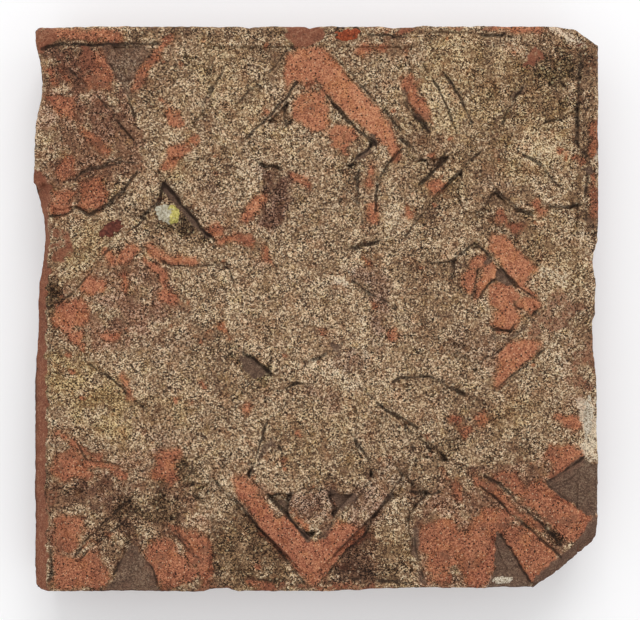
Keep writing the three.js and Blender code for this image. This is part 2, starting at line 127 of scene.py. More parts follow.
def within(px, py, points):
    """Whether places lie inside a closed outline."""
    found = np.zeros(px.shape, bool)
    for (ax, ay), (bx, by) in zip(points, points[1:] + points[:1]):
        if ay != by:
            crossing = ax + (py - ay) * (bx - ax) / (by - ay)
            found ^= ((ay > py) != (by > py)) & (px < crossing)
    return found


def drawn(shapes, wander=1.0):
    """Millimetres inside the union of drawn shapes, from -MARGIN to CORE."""
    field = np.full(GX.shape, -MARGIN)
    for strength, width, *points in shapes:
        part = window(points, width / 2 + MARGIN)
        px = GX[part] + wander * WANDER_X[part]
        py = GY[part] + wander * WANDER_Y[part]
        if width:
            inside = width / 2 - to_line(px, py, points)
        else:
            away = to_line(px, py, points + points[:1])
            inside = np.where(within(px, py, points), away, -away)
        inside = np.minimum(inside, CORE) - (1 - strength) * FADE
        inside += (0.16 + 0.8 * (1 - strength)) * EDGE_NOISE[part]
        field[part] = np.maximum(field[part], inside)
    return field


def strongest(shapes, soft, wander=1.0):
    """The greatest strength of the drawn shapes at each place, with soft edges."""
    field = np.zeros(GX.shape)
    for strength, width, *points in shapes:
        inside = drawn([(1.0, width, *points)], wander)
        field = np.maximum(field, strength * smooth(-soft, soft, inside + soft * 0.5 * EDGE_NOISE))
    return field


def anchored(points, spread):
    """A smooth field that takes given values near given places: (x, y, value) each."""
    total = np.zeros(GX.shape)
    weight = np.full(GX.shape, 1e-9)
    for x, y, value in points:
        w = np.exp(-((GX - x) ** 2 + (GY - y) ** 2) / (2 * spread**2))
        total += w * value
        weight += w
    return total / weight


# Where the figures lie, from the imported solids

# Lumps on the face: slot, spread along X and along Y against the CAD node, share of its height,
# roughness, and how far it stands above the surface round it
CRUMBS = {
    "pebble_brown": ("brown_stone", 1.75, 1.4, 0.9, 0.25, 0.35),
    "pebble_red": ("red_grog", 1.3, 1.55, 0.8, 0.16, 0.25),
    "lime_fleck": ("lime", 1.2, 1.2, 0.45, 0.8, 0.7),
    "mortar_east": ("old_mortar", 1.0, 1.0, 0.8, 0.45, 0.35),
    "mortar_south": ("old_mortar", 1.7, 1.4, 0.9, 0.45, 0.5),
}
FIGURES = [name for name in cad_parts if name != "tile_body" and name not in CRUMBS]
RAY_START = 40  # above everything
WORN_MIDDLE = 6  # radius of the rosette, which counts as one figure


def footprint(names):
    """The raster cells that lie under these nodes."""
    points = []
    faces = []
    for name in names:
        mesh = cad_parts[name].data
        start = len(points)
        points += [tuple(v.co / MM) for v in mesh.vertices]
        faces += [tuple(start + i for i in face.vertices) for face in mesh.polygons]
    tree = BVHTree.FromPolygons(points, faces)
    found = np.zeros(GX.shape, bool)
    near = np.flatnonzero(np.abs(AXIS) < HALF)
    for row in near:
        y = AXIS[row]
        for column in near:
            hit = tree.ray_cast((AXIS[column], y, RAY_START), (0, 0, -1))[0]
            found[row, column] = hit is not None
    return found


def grown(mask, cells):
    """A mask widened by a number of cells, in eight directions."""
    for _ in range(cells):
        wide = mask.copy()
        for dy in (-1, 0, 1):
            for dx in (-1, 0, 1):
                wide |= np.roll(np.roll(mask, dy, 0), dx, 1)
        mask = wide
    return mask


figure = footprint(FIGURES)
figure = ~grown(~grown(figure, 1), 1) | (np.hypot(GX, GY) < WORN_MIDDLE)
figure_soft = blur(figure.astype(float), 0.32)

# What covers the clay, drawn one by one. Bare clay first

BARE = [
    (1.0, 0, (-4.3, 70.5), (1.5, 70.2), (4.9, 67.5), (7.6, 63.5), (13, 57.4), (17, 52.7), (20.4, 48.6),
     (21.7, 45.9), (21.1, 43.9), (17, 44.5), (12.3, 49.3), (6.2, 54), (2.8, 58.1), (0.1, 60.8), (-1.9, 59.4),
     (-4.6, 61.4), (-7.3, 58.7), (-8, 63.5), (-7, 67.5)),
    (0.7, 2.8, (20.2, 43.6), (21.2, 40.8)),
    (0.8, 0, (-3.9, 58.7), (1.5, 58.1), (3.5, 54), (4.2, 50.6), (3.5, 47.3), (-0.5, 46.9), (-3.2, 49.3),
     (-5.6, 51.3), (-6.3, 55.4)),
    (0.55, 0, (4.9, 50), (9.6, 50), (11.6, 45.9), (8.9, 43.9), (8.2, 40.5), (6.2, 40.8), (3.5, 43.9),
     (3.2, 47.3)),
    (0.9, 1.4, (14.3, 38.2), (14.2, 36.6)),
    (0.5, 1.6, (14, 36.6), (14.6, 31.7)),
    (0.95, 2.4, (14.6, 27.4), (15.2, 24.6)),
    (0.5, 2.8, (-6, 35.8), (-1.5, 33.4)),
    (1.0, 2.6, (-18.4, 24.6), (-14.2, 29.4)),
    (0.95, 3.2, (24.6, 60.8), (26.3, 57), (29.3, 52.3)),
    (0.45, 1.6, (24.8, 69.5), (25.2, 66)),
    (0.6, 3.8, (12.5, 70), (18.5, 69.5)),
    (0.4, 2.4, (15, 74.8), (25, 74.5)),
    (1.0, 0, (29.8, 33.4), (32.2, 34.8), (34.4, 33.6), (33.4, 31.2), (31, 30.6)),
    (0.8, 2.6, (48.5, 75.6), (59, 75.6)),
    (0.5, 1.6, (34, 75.4), (37, 75.4)),
    (0.75, 2.4, (74.4, 50), (74.2, 42)),
    (0.75, 2.4, (74, 35), (74.4, 25.6)),
    (0.6, 2.6, (69, 40.4), (70.3, 39.4)),
    (0.8, 2.6, (59.2, 28), (60.8, 25.8)),
    (0.7, 1.8, (24.4, 27), (25.4, 24.4)),
    (0.45, 3.6, (50, 24.6), (53, 21.6)),
    (1.0, 0, (46, 16.2), (47.7, 20.3), (50.1, 19.6), (54.1, 15.5), (58.2, 11.8), (59.2, 10.5), (57.5, 9.5),
     (56.2, 6.8), (59.1, 3.4), (58.2, 3.1), (53.5, 7.4), (49.4, 11.8), (46.4, 15.3)),
    (1.0, 0, (41, 13.2), (42.7, 14.4), (44.9, 13.6), (45.3, 11.8), (43.7, 10.5), (41.6, 10.9)),
    (1.0, 0, (39, 8.8), (40.6, 10.5), (42.6, 9.7), (43, 7.4), (41.6, 4.4), (40.1, 4.9), (39.1, 6.8)),
    (1.0, 0, (44.7, 10.9), (47, 12.2), (48.8, 10.5), (48.1, 8.1), (46, 6.2), (43.9, 3.5), (42.5, 3.2),
     (43.5, 6.1), (44.5, 8.1)),
    (1.0, 0, (46.4, 5.4), (49.4, 6.6), (52.8, 5.9), (54.3, 3.4), (52.9, 1.4), (54.8, -0.9), (55.4, -2),
     (53.8, -4.6), (51.4, -5.9), (49.1, -5.6), (47.2, -4.1), (47.5, -1.7), (48.2, 0), (47.2, 2.7)),
    (1.0, 0, (53.8, 2.2), (56.2, 3), (58.9, 2.2), (59.9, 0.7), (57.5, -0.9), (55.3, -0.5), (54, 0.6)),
    (1.0, 0, (48.4, -12.8), (52.1, -8.8), (54.1, -7.5), (58.9, -8), (60.3, -9.5), (59.5, -10.8),
     (54.1, -15.5), (50.8, -18.9), (48, -20.8), (47.6, -18.2), (49.4, -14.9)),
    (0.9, 0, (64.3, -28), (69, -28.7), (70.7, -31), (69.7, -33.8), (67, -32.4), (65.6, -30)),
    (0.95, 0, (62.9, -36.4), (69.7, -37.1), (72.4, -39.1), (71, -41.5), (67, -44.5), (64.3, -45.9),
     (61.9, -45.2), (64.3, -41.8), (61.6, -39.5)),
    (0.95, 0, (53.5, -44.6), (54.5, -46.6), (56.2, -48.3), (60.2, -45.9), (64.3, -49.3), (72.4, -54.7),
     (74, -57.4), (72.4, -60.2), (69.7, -62.2), (66.3, -60.8), (62.9, -58), (58.9, -54.7), (56.2, -52),
     (52.8, -49.3), (48.1, -45.9), (47.4, -44.6)),
    (1.0, 2.3, (44, -45.9), (54.1, -54.7), (60, -59.4)),
    (0.85, 0, (28.8, -58.1), (32.5, -56.4), (36.6, -56), (37.9, -57.4), (38.6, -60.1), (42.7, -56),
     (44.7, -53.3), (52.1, -54), (53.5, -56.7), (50.8, -60.8), (48.7, -60.1), (48.1, -62.8), (48.7, -65.5),
     (47.4, -69.5), (46, -72.9), (42.7, -74.6), (40.6, -73.9), (40, -71.6), (36.9, -68.9), (34.6, -73.6),
     (31.2, -73.9), (29.2, -69.5), (30.5, -66.2), (27.5, -64.8), (27.8, -61.4)),
    (0.9, 0, (51.4, -58.7), (57.5, -59.4), (62.9, -63.5), (65.2, -66.8), (64.6, -68.9), (62.3, -71.2),
     (59.5, -73.2), (57.5, -72.9), (54.8, -68.9), (52.1, -64.8), (50, -62.8)),
    (0.95, 0, (43.3, -29), (45.4, -27.7), (46.4, -30.4), (44.7, -31.4)),
    (0.95, 0, (38.6, -32.4), (42, -31), (42.7, -32.4), (40.3, -34.8)),
    (0.4, 3, (36, -29), (38.5, -29.5)),
    (0.6, 1.6, (34.4, -42.8), (34.6, -45)),
    (0.6, 1.8, (37.6, -45.6), (38.2, -51)),
    (1.0, 0, (-22.8, -46.6), (-19.4, -45.9), (-17.1, -47.2), (-15.7, -50.6), (-12.7, -53.7), (-11.3, -56),
     (-8, -56.4), (-4.6, -59.4), (-2.6, -62.1), (-0.5, -62.1), (0.8, -61.8), (2.2, -61.1), (4.9, -58),
     (6.2, -56), (8.9, -57.4), (12.2, -59.4), (11.2, -62.1), (8.6, -64.6), (5.2, -68.4), (2.9, -70.6),
     (-0.5, -74.2), (-1.9, -73.6), (-9.3, -65.5), (-13.7, -61.4), (-16, -56.7), (-18.1, -53.3),
     (-20.8, -50.6)),
    (0.85, 0, (-5.6, -55.4), (-1.9, -57), (-2.2, -59), (-4.9, -57.7)),
    (0.6, 1.4, (3.8, -52), (4.7, -54.5)),
    (0.6, 1.2, (-12.5, -49.6), (-8.4, -49.8)),
    (0.6, 1.8, (-9.5, -40), (-8.6, -42.2)),
    (0.65, 3, (-17.6, -73.4), (-12, -74.8)),
    (0.7, 1.6, (1, -75), (18.4, -75)),
    (0.8, 0, (-70.1, -38.5), (-64.7, -38), (-61.3, -39.5), (-55.2, -41), (-50.5, -43.2), (-49.8, -45.2),
     (-51.8, -45.9), (-54.5, -43.6), (-58.6, -42.6), (-60.6, -43), (-59.3, -44.6), (-60.6, -46.3),
     (-64, -45), (-67.4, -46.4), (-70.1, -45.2), (-70.7, -41.2)),
    (0.55, 2.2, (-69.4, -33.4), (-66.4, -34.6), (-64.4, -37), (-58, -40)),
    (0.9, 0, (-41, -37.8), (-37, -36.5), (-36.3, -38.5), (-37.7, -42.5), (-37, -45.9), (-39, -47.9),
     (-40.4, -45.2), (-43.1, -45.9), (-44.8, -44.6), (-41.7, -41.2)),
    (0.9, 0, (-70.1, -66), (-66, -66.8), (-64, -68.2), (-60.5, -65.5), (-58.5, -66), (-55.2, -70.6),
     (-54.5, -72.2), (-59.3, -74.9), (-65.3, -75.6), (-70.1, -75.6), (-70.7, -72.2)),
    (0.7, 1.5, (-62.6, -64.4), (-60.4, -62.6)),
    (0.7, 1.6, (-55.6, -60.6), (-53.4, -59.6)),
    (0.85, 0, (-69.6, -57), (-66, -54.8), (-61.6, -55.4), (-62.6, -60), (-65, -65), (-69.8, -66.4)),
    (0.85, 0, (-45.8, -63.5), (-41.7, -61.4), (-38.3, -62.1), (-37, -66.2), (-33.6, -68.2), (-31.6, -70.2),
     (-34.3, -73.6), (-41, -74.3), (-43.1, -72.2), (-45.1, -68.9)),
    (0.85, 0, (-40.4, -57.4), (-34.3, -58.7), (-29.6, -61.4), (-27.2, -63.5), (-27.5, -68.2), (-27.9, -72.2),
     (-30.2, -73.6), (-32.9, -68.2), (-36.3, -62.8), (-39, -60.1)),
    (0.5, 1.8, (-45.6, -33.2), (-44, -34.6)),
    (0.9, 3.0, (-51.3, 13.5), (-49.4, 16)),
    (0.95, 2.4, (-55.2, 14.4), (-54, 13.4)),
    (1.0, 2.6, (-44.4, 16.6), (-41.8, 14.6), (-39.2, 13.5), (-33, 13.1)),
    (0.8, 2.2, (-45.8, 13.1), (-41, 9.5), (-40.8, 5.4)),
    (0.95, 2.8, (-41.5, 3.6), (-38.2, 2.6)),
    (0.8, 1.9, (-50.8, 8.5), (-50.5, 4.5)),
    (0.95, 0, (-63.7, 4.7), (-61.3, 8.8), (-55.9, 7.4), (-57.2, 4.7), (-61.3, 3.6)),
    (1.0, 0, (-70.9, -2), (-69.4, 1.5), (-62.9, 2.2), (-61.3, -0.7), (-62.9, -4.2), (-67.4, -5.8),
     (-70.3, -4.2)),
    (0.9, 0, (-66.7, -5.6), (-62.4, -5.6), (-61.5, -12), (-63.7, -10.2), (-66.5, -8.2)),
    (0.8, 2.2, (-56, -6.8), (-53, -7.8)),
    (0.7, 2.2, (-52.4, -18.2), (-49.8, -23)),
    (0.7, 1.6, (-31.2, -19), (-30, -20)),
    (0.6, 1.8, (-26.2, -4.2), (-23.2, -7.2)),
    (0.95, 0, (-29, 21.6), (-26.4, 22.6), (-24.2, 22), (-24.8, 19.8), (-27.4, 19.2)),
    (0.85, 2.2, (-26.4, 17.6), (-21.4, 18.8), (-17.2, 18)),
    (0.8, 1.8, (-13.6, 16.4), (-12.4, 12.8)),
    (0.5, 2.2, (12.2, 13.2), (13.4, 11.6)),
    (0.5, 1.8, (15, 2), (15.2, -0.4)),
    (0.95, 2.0, (20.4, -6.4), (21.2, -7.2)),
    (0.4, 2, (-9.8, -6.2), (-8.8, -7.2)),
    (0.4, 2, (1, -5.6), (2, -6.6)),
    (0.5, 1.2, (-17.4, -12.4), (-14, -15.2)),
    (0.8, 2.2, (-19, -26), (-18.4, -28)),
    (0.75, 0, (-70.7, 74.6), (-60, 75), (-52.5, 74.8), (-50.5, 73.6), (-51.8, 72.2), (-60.6, 71.9),
     (-66, 72.3), (-70.7, 71.5)),
    (0.9, 0, (-59.3, 68.2), (-56.6, 67.5), (-54.5, 64.1), (-54.3, 61.4), (-55.9, 59.2), (-60.6, 58.7),
     (-61.3, 61.4), (-59.9, 64.1)),
    (0.8, 2.4, (-40.4, 72.2), (-43.1, 67.5), (-45.8, 64.1), (-48.5, 58.7)),
    (0.7, 2.4, (-72.6, 65.5), (-68.9, 59.5)),
    (0.6, 1.4, (-69.4, 66.5), (-66, 61)),
    (0.85, 0, (-71.4, 56.9), (-65.3, 56.9), (-64.5, 50.4), (-67.4, 50.8), (-70.1, 54)),
    (0.85, 2.4, (-63.3, 48.6), (-59.4, 45.2), (-55.9, 42.5)),
    (0.8, 0, (-67.4, 42.2), (-65.1, 41), (-64.2, 36.2), (-67.4, 34.2), (-69.3, 37.1)),
    (0.9, 0, (-63.3, 33.8), (-57.2, 35.9), (-55, 31.1), (-57.9, 26), (-63.5, 27.5)),
    (0.85, 0, (-72, 25.6), (-69.6, 31.1), (-64.7, 31.7), (-66, 26), (-70.1, 24.8)),
    (0.85, 2.0, (-36.8, 52), (-36.2, 50)),
    (0.35, 3.4, (-40.5, 55), (-38, 51)),
    (0.75, 0, (-39, 43.9), (-33.6, 45.2), (-32.9, 41.9), (-37, 39.8), (-39, 37.1), (-41.7, 37.1),
     (-41, 39.2)),
]
# Smooth red-brown clay with little crust
BROWN = [
    (0.9, 0, (-8.6, 77), (1.2, 77), (2, 73), (-0.6, 70.4), (-5.5, 69.8), (-8.2, 72.5)),
    (0.85, 0, (55.5, 68.2), (58.5, 70), (61, 68.6), (60.6, 66), (58, 64.4), (55.8, 65.2)),
    (0.5, 0, (68.4, -9.5), (75, -9), (77, -20), (71.5, -25), (67.8, -20)),
    (0.5, 0, (59.9, -0.5), (66, 6), (70, 3), (72.4, 0), (66, -6.2), (58.3, -7.8), (55.5, -4.5)),
    (0.5, 3.6, (50.6, 24), (54, 21)),
    (0.4, 0, (-69, -57), (-62, -55.5), (-63.5, -63), (-66.5, -68), (-70.5, -67)),
    (1.0, 0, (-77, 37), (-73, 35), (-72.4, 29), (-73, 24), (-77, 24)),
    (0.75, 0, (-77, 77), (-70, 76), (-69.5, 72), (-72.5, 70), (-77, 68)),
    (0.75, 0, (-72, 22.5), (-65.5, 21.5), (-64.8, 17), (-68, 12), (-72, 12)),
    (0.6, 2.2, (14, 75.2), (26, 74.8)),
    (0.6, 2.4, (39, 75.4), (47, 75.4)),
    (0.35, 2.6, (74.6, 72), (74.8, 24)),
    (0.55, 2.4, (-14, -74.6), (20, -74.8)),
    (0.5, 2.4, (-74, -75.4), (-24, -75.4)),
    (0.6, 0, (-63.5, 70.5), (-60.5, 70.5), (-60.2, 64), (-63, 63)),
    (0.33, 0, (-72.5, 70), (-63, 70.5), (-62, 62), (-54, 52), (-58, 48), (-66, 56), (-72, 62)),
    (0.5, 2.4, (-71, -50), (-70.5, -62)),
    (0.5, 0, (26, 62), (28, 62), (30, 56), (27.6, 55)),
]
# Hollows down to dark smooth clay: depth, width, points
DEEP = [
    (0.45, 0, (37.2, 12), (40.2, 15.8), (42.5, 17.4), (41, 14.4), (38.8, 9.5)),
    (1.5, 0, (61.6, -46.6), (66, -44.2), (72.4, -39.5), (77, -42), (77, -54.5), (72.4, -54.7), (64.3, -49.6)),
    (1.5, 0, (49.1, -60.4), (50.8, -62.8), (58.2, -73.6), (56.5, -77), (45.5, -77), (47.7, -72), (48.4, -66)),
    (0.62, 0, (-50.5, -62.8), (-46.8, -64.8), (-41.7, -75), (-44, -78), (-58.5, -78), (-54, -71.6)),
    (0.5, 0, (-57.2, 70.8), (-43.1, 70.6), (-47.8, 64.1), (-49.8, 54.7), (-53.5, 61.5), (-55.2, 64.1)),
    (0.4, 0, (44.9, 72.8), (53.6, 72.4), (51.5, 69.8), (48.2, 68.2), (47.6, 61.6), (45.6, 61.4), (45, 67)),
    (1.5, 0, (-41.4, 34.2), (-39.6, 33.2), (-34.8, 27.2), (-28.4, 19.4), (-31.8, 21.2), (-35.8, 25.6),
     (-40.2, 30.4)),
    (1.2, 0, (-21.8, -10.8), (-17.4, -13.2), (-12.7, -16.9), (-16.7, -18.6), (-19.4, -16.2)),
    (0.7, 0, (3.5, -9.1), (7.9, -10.5), (6.2, -12.8), (4.9, -11.8)),
    (0.8, 0, (45, 12.1), (45.7, 14.5), (54.1, 5.9), (49.6, 6.9), (48.6, 8.8), (48.6, 10.8)),
    (0.5, 1.8, (47, -7.4), (52, -7.4), (56.4, -4.6)),
    (0.8, 0, (-11.6, -50.8), (-8, -51), (-7.3, -55), (-9, -54.2)),
    (0.8, 0, (4, -49.6), (10.5, -50), (7, -54.8), (5.3, -53)),
    (0.8, 1.1, (-7.6, -55.6), (-2.8, -61)),
    (0.5, 1.3, (6, -55.6), (1, -61)),
    (0.6, 0, (-17.4, -43.7), (-13.3, -35.5), (-12, -34.2), (-8.8, -38.5), (-12, -37.5), (-14.6, -41)),
    (0.6, 1.8, (26.7, -59.5), (27, -66), (28.6, -73)),
    (0.6, 1.1, (23.8, 58), (26.4, 52.6), (30.4, 48.4)),
    (0.25, 0, (-6.4, 57.6), (-10.5, 53.2), (-12.6, 48.8), (-9.6, 50.4), (-8.2, 54.4)),
    (0.8, 1.1, (14.6, 46), (15.8, 44.4)),
    (0.7, 1.2, (13.6, 42.4), (10.6, 40)),
    (0.9, 2.2, (73.2, 37.2), (73.4, 36.6)),
    (0.5, 1.6, (48, 50.6), (52.1, 55.4), (55.5, 59.4)),
]
# Cracks, edges and grooves, carved and painted dark with dirt and painted shade: depth, width and points
LINES = [
    (0.9, 0.5, (45.3, 11.6), (43.2, 10.4), (43, 6.8), (42, 4)),
    (0.7, 0.5, (43.9, 3.2), (45.6, 5.8), (48.6, 8)),
    (0.8, 0.45, (52.8, 2.4), (53.6, 0.9), (55.2, -0.2)),
    (0.6, 0.5, (35.2, 33.8), (44.7, 42.5)),
    (0.8, 0.5, (5, 74.2), (6.4, 75.8), (9.6, 76.2), (11.6, 74.8), (10.8, 72.6), (7.6, 72.2), (5.2, 73)),
    (0.2, 0.5, (-8, 70), (-12, 66), (-15, 61), (-20, 55.5)),
    (0.5, 0.6, (-9, 75.5), (-8.6, 72.4), (-5.6, 69.8)),
    (0.5, 0.5, (36.4, 8), (36, 12), (39.3, 15.4)),
    (0.5, 0.5, (27.8, 33.8), (32, 37.6), (36.6, 41.9)),
    (0.6, 0.5, (-28, 58.5), (-24, 66), (-25.6, 70.5)),
    (0.5, 0.5, (23.6, -32), (27, -40), (25.6, -48)),
    (0.5, 0.6, (-20, -72.6), (-8, -73), (-4, -73.4)),
    (0.6, 0.5, (4, -73), (12, -72.4), (24, -73.4)),
    (1.0, 0.5, (-0.2, 61), (4.9, 54.7), (10.3, 48.6), (16, 43.9)),
    (0.8, 0.45, (-4.6, 60.8), (-7.3, 57.4), (-14, 50), (-20.1, 43.9)),
    (0.45, 0.5, (-5.9, 70.9), (-12, 64.1), (-18.8, 57.4), (-20.8, 55.3)),
    (0.45, 0.5, (6.2, 66.8), (14.3, 58), (23, 47.9)),
    (0.5, 0.45, (-8, 55.4), (-8.3, 51.3), (-7.3, 48.6)),
    (0.6, 0.45, (-19.4, 43.9), (-17.4, 41.2), (-14.7, 38.5), (-10, 37.8)),
    (0.7, 0.45, (13, 45.9), (14.6, 43.9), (13, 41.9), (10.9, 40.5), (8.9, 37.8)),
    (0.6, 0.5, (11.6, 37.1), (11.3, 30.4), (12.3, 23.6), (15, 19.6)),
    (0.5, 0.5, (23, 43.2), (19.7, 39.1), (16.3, 34.4), (15.7, 26.3)),
    (0.6, 0.5, (29.8, 38.5), (33.2, 39.1)),
    (0.7, 0.6, (23, 56), (26.3, 51.8), (30.5, 47.6)),
    (0.4, 0.6, (-0.5, 32.6), (6, 29.4), (14, 28.6)),
    (0.7, 0.5, (14.3, 73.4), (25, 73.2)),
    (0.8, 0.7, (31.2, 74.2), (44, 73.6), (53.5, 72.9)),
    (0.9, 0.7, (71, 68.9), (70.7, 60.8), (70, 50.6), (69.7, 44.6), (72.2, 41.2)),
    (0.8, 0.6, (72.7, 35.8), (72, 30.4), (72.2, 23.6)),
    (0.9, 0.5, (28.8, 65.8), (32.5, 60.1), (34.2, 56.4)),
    (0.75, 0.5, (34.2, 56.4), (36.6, 50.6), (37.9, 47.3)),
    (0.8, 0.5, (35.2, 62.8), (38.6, 56.7), (42, 50)),
    (0.6, 0.6, (55.4, 59.5), (52, 54), (49.4, 49.3)),
    (0.7, 0.5, (60.9, 49.3), (64, 50.6), (67, 50.8)),
    (0.9, 0.5, (55.5, 41.2), (60.2, 38.5), (64.9, 33.1)),
    (0.4, 0.5, (51.5, 40), (57.5, 37), (63.6, 33.6)),
    (0.9, 0.5, (46.6, 34), (50.8, 29.7), (54.8, 26.3), (58.2, 25)),
    (0.9, 0.45, (60.2, 29), (62.9, 27.3), (68.3, 27), (71.7, 27.7)),
    (0.7, 0.5, (22.4, 45.9), (25.8, 43.2), (29.8, 39.1), (32.5, 38.8), (35.2, 42.5)),
    (0.4, 0.5, (28.5, 33.7), (32.5, 37.8), (36.6, 41.2)),
    (0.5, 0.5, (31.2, 29.7), (37.9, 36.4)),
    (1.0, 0.42, (42.7, 17.9), (45.7, 14.5), (56.2, 4.7), (60.9, 1.4)),
    (0.5, 0.45, (36, 12.8), (39.3, 15), (42.7, 17.9)),
    (0.6, 0.45, (58.9, -0.7), (54.8, -2.7), (52.1, -5.8), (47.4, -5.4), (46, -3)),
    (0.5, 0.4, (59.2, -0.7), (54.5, -6.1), (49.4, -10.8), (46.7, -12.8)),
    (0.7, 0.45, (62.9, -9.5), (57.5, -14.2), (48.4, -20.9)),
    (0.3, 0.45, (69.7, 2.7), (72, 0), (65.6, -6), (62.9, -9.5)),
    (0.8, 0.5, (20.4, -19.9), (23.1, -18.6), (26.5, -18.2), (30.5, -18.4), (40, -23)),
    (0.5, 0.5, (31.2, 12.2), (35.9, 12.8)),
    (0.3, 0.6, (36.6, 12.8), (36.9, 8.8), (39.3, 4)),
    (0.3, 0.5, (22.4, 17.5), (26.5, 23), (28.5, 25)),
    (0.5, 0.6, (37.5, -8.5), (38.4, -12), (42, -14.5), (46, -13)),
    (0.8, 0.5, (25.1, -48.9), (28.5, -49.3), (31.2, -49.6), (33.2, -48.9)),
    (1.0, 0.5, (45.7, -44.6), (52.8, -50.3), (62.9, -60.1), (66.3, -63.5)),
    (1.0, 0.5, (44, -47.2), (51.4, -54), (60.2, -62.1), (66.3, -66.5)),
    (0.5, 0.5, (26.5, -61.4), (27.5, -66.8), (29.2, -72.2)),
    (0.9, 0.4, (49.4, -60), (53.5, -66.5), (58.2, -73.6)),
    (0.6, 0.5, (61.6, -46.6), (66, -44.2), (72.4, -39.5)),
    (0.5, 0.4, (61.6, -46.6), (66, -50.4), (72.4, -54.9)),
    (0.6, 0.5, (20, -28), (26.5, -33.7), (31.2, -37.8)),
    (0.75, 0.45, (11.6, -20.9), (19.7, -27.7), (27.1, -31.7)),
    (0.7, 0.42, (-27.5, -46.2), (-21.5, -51.3), (-14.7, -59.4), (-2.6, -74.2)),
    (0.8, 0.45, (-17, -46.2), (-12, -51.3), (-8, -55.4), (-2.6, -61.4)),
    (0.5, 0.42, (15, -46.2), (10.3, -51.3), (6.2, -55.4), (0.8, -61.4)),
    (0.7, 0.42, (22.4, -45.9), (15.7, -55.4), (12.3, -61.4), (4.9, -68.9), (0.1, -74.2)),
    (0.8, 0.45, (-12.7, -30.4), (-15, -36.5), (-17.4, -43.9)),
    (0.8, 0.45, (8.9, -32.4), (13, -38.6), (17, -44.9)),
    (0.4, 0.45, (-11.3, -34.4), (-8.3, -39.5)),
    (0.5, 0.45, (-7.8, -52), (-6.6, -49.4), (-3.4, -47.9), (1, -48.2), (4, -49.6)),
    (0.4, 0.45, (3.6, -50.4), (5.2, -54.4), (3.8, -58)),
    (0.5, 0.5, (11.6, -71.8), (18, -72.6), (22.4, -73)),
    (0.7, 0.5, (-49.1, -50.6), (-55.2, -56), (-61.3, -61.4), (-65.3, -67.5)),
    (0.7, 0.5, (-47.8, -54), (-53.9, -58.7), (-59.3, -63.5), (-64, -68.2)),
    (0.6, 0.45, (-64, -36.5), (-61.3, -40.5), (-55.2, -41.2), (-47.8, -43.2)),
    (0.4, 0.45, (-66.5, -37.6), (-62, -42.4), (-55, -43.4)),
    (0.6, 0.6, (-41.7, -57.4), (-37, -61.4), (-33.6, -65.5), (-31.6, -66.8)),
    (0.5, 0.5, (-39.7, -57.4), (-34.3, -62.8), (-32.3, -66.2)),
    (0.5, 0.4, (-37, -70.2), (-33.6, -72.2), (-30.9, -74.9)),
    (0.7, 0.42, (-47, -64.4), (-44, -70), (-41.7, -75)),
    (0.5, 0.42, (-50.5, -62.8), (-54, -71.6), (-58, -75.6)),
    (0.8, 0.7, (-71.4, -64.8), (-71, -69), (-71.4, -73)),
    (0.4, 0.6, (-71.6, 8), (-71, 2), (-71.6, -8), (-72, -30), (-72.4, -52)),
    (0.35, 0.35, (-75, -5.4), (-71.4, -5.6)),
    (0.35, 0.35, (-76, -16.5), (-71.8, -16.2)),
    (0.65, 0.42, (-45.8, 24.3), (-51.8, 18.9), (-57.9, 12.8), (-64.7, 4.7), (-68.7, 2)),
    (0.6, 0.45, (-44.4, 15.2), (-39.7, 12.1), (-33.6, 11.1), (-27.5, 11.8), (-23.5, 11.8)),
    (0.6, 0.45, (-60.6, -14.9), (-55.2, -18.9), (-49.1, -23.6), (-45.1, -27.7)),
    (0.4, 0.4, (-35.6, -3.7), (-30.2, -4.7), (-23.5, -7.4)),
    (0.3, 0.5, (-41, -9.8), (-34.3, -8.8), (-30.2, -4.7)),
    (0.9, 0.6, (-21.8, -10.6), (-17.4, -13.2), (-12.7, -16.9)),
    (0.4, 0.6, (-26.2, 11.5), (-23.5, 11.8), (-21.5, 6.8), (-20.8, 2)),
    (0.9, 0.45, (10.3, 7.4), (14.3, 4), (21.7, 0.3)),
    (0.5, 0.8, (2.8, 14.9), (10.3, 16.2), (17.7, 18.6)),
    (0.5, 0.45, (10.3, 9.5), (10.6, 6.8)),
    (0.7, 0.45, (-8, -21.3), (-4.6, -19.9), (-1.2, -20.9)),
    (0.4, 0.8, (-5.9, -13.5), (-1.9, -14.2), (2.8, -12.2)),
    (0.3, 0.5, (23.1, 18.2), (25.8, 21.6), (27.8, 25)),
    (1.0, 0.6, (-73.4, 69.8), (-67.4, 70.9), (-60.6, 70.5), (-50.5, 71.4), (-42.4, 71)),
    (0.75, 0.45, (-66, 64.8), (-60.6, 58.7), (-57.2, 55.4), (-49.1, 45.2)),
    (0.7, 0.45, (-56.6, 67.5), (-52.5, 62.1), (-49.8, 55.4), (-48.5, 50.6)),
    (0.4, 0.4, (-43.1, 70.2), (-47.8, 64.1), (-49.8, 54.7)),
    (0.5, 0.45, (-65.3, 47.9), (-62, 45.9), (-57.9, 43.9), (-55.2, 42.5)),
    (0.6, 0.45, (-64.7, 34.4), (-60.6, 37.8), (-55.2, 39.8), (-47.8, 41.2)),
    (0.75, 0.45, (-62, 36.5), (-57.2, 38.5), (-51.8, 39.2), (-47.8, 38.5)),
    (1.0, 0.5, (-47.8, 37.1), (-50.5, 33.1), (-53.9, 29.7), (-57.9, 27), (-60.6, 25.2), (-64, 27.5),
     (-67.4, 25.3), (-71.4, 24.8)),
    (0.8, 0.5, (-46.6, 24.6), (-41.7, 29.4), (-41, 33.8)),
    (1.0, 0.6, (-41, 33.8), (-35.6, 27.7), (-30.2, 21.6), (-27.5, 18.2)),
    (0.5, 0.42, (-28.9, 41.2), (-23.5, 37.8)),
    (0.4, 0.45, (-28.2, 59.4), (-30.9, 54)),
    (0.3, 0.45, (-29, 68), (-27.6, 60), (-30.4, 53)),
]
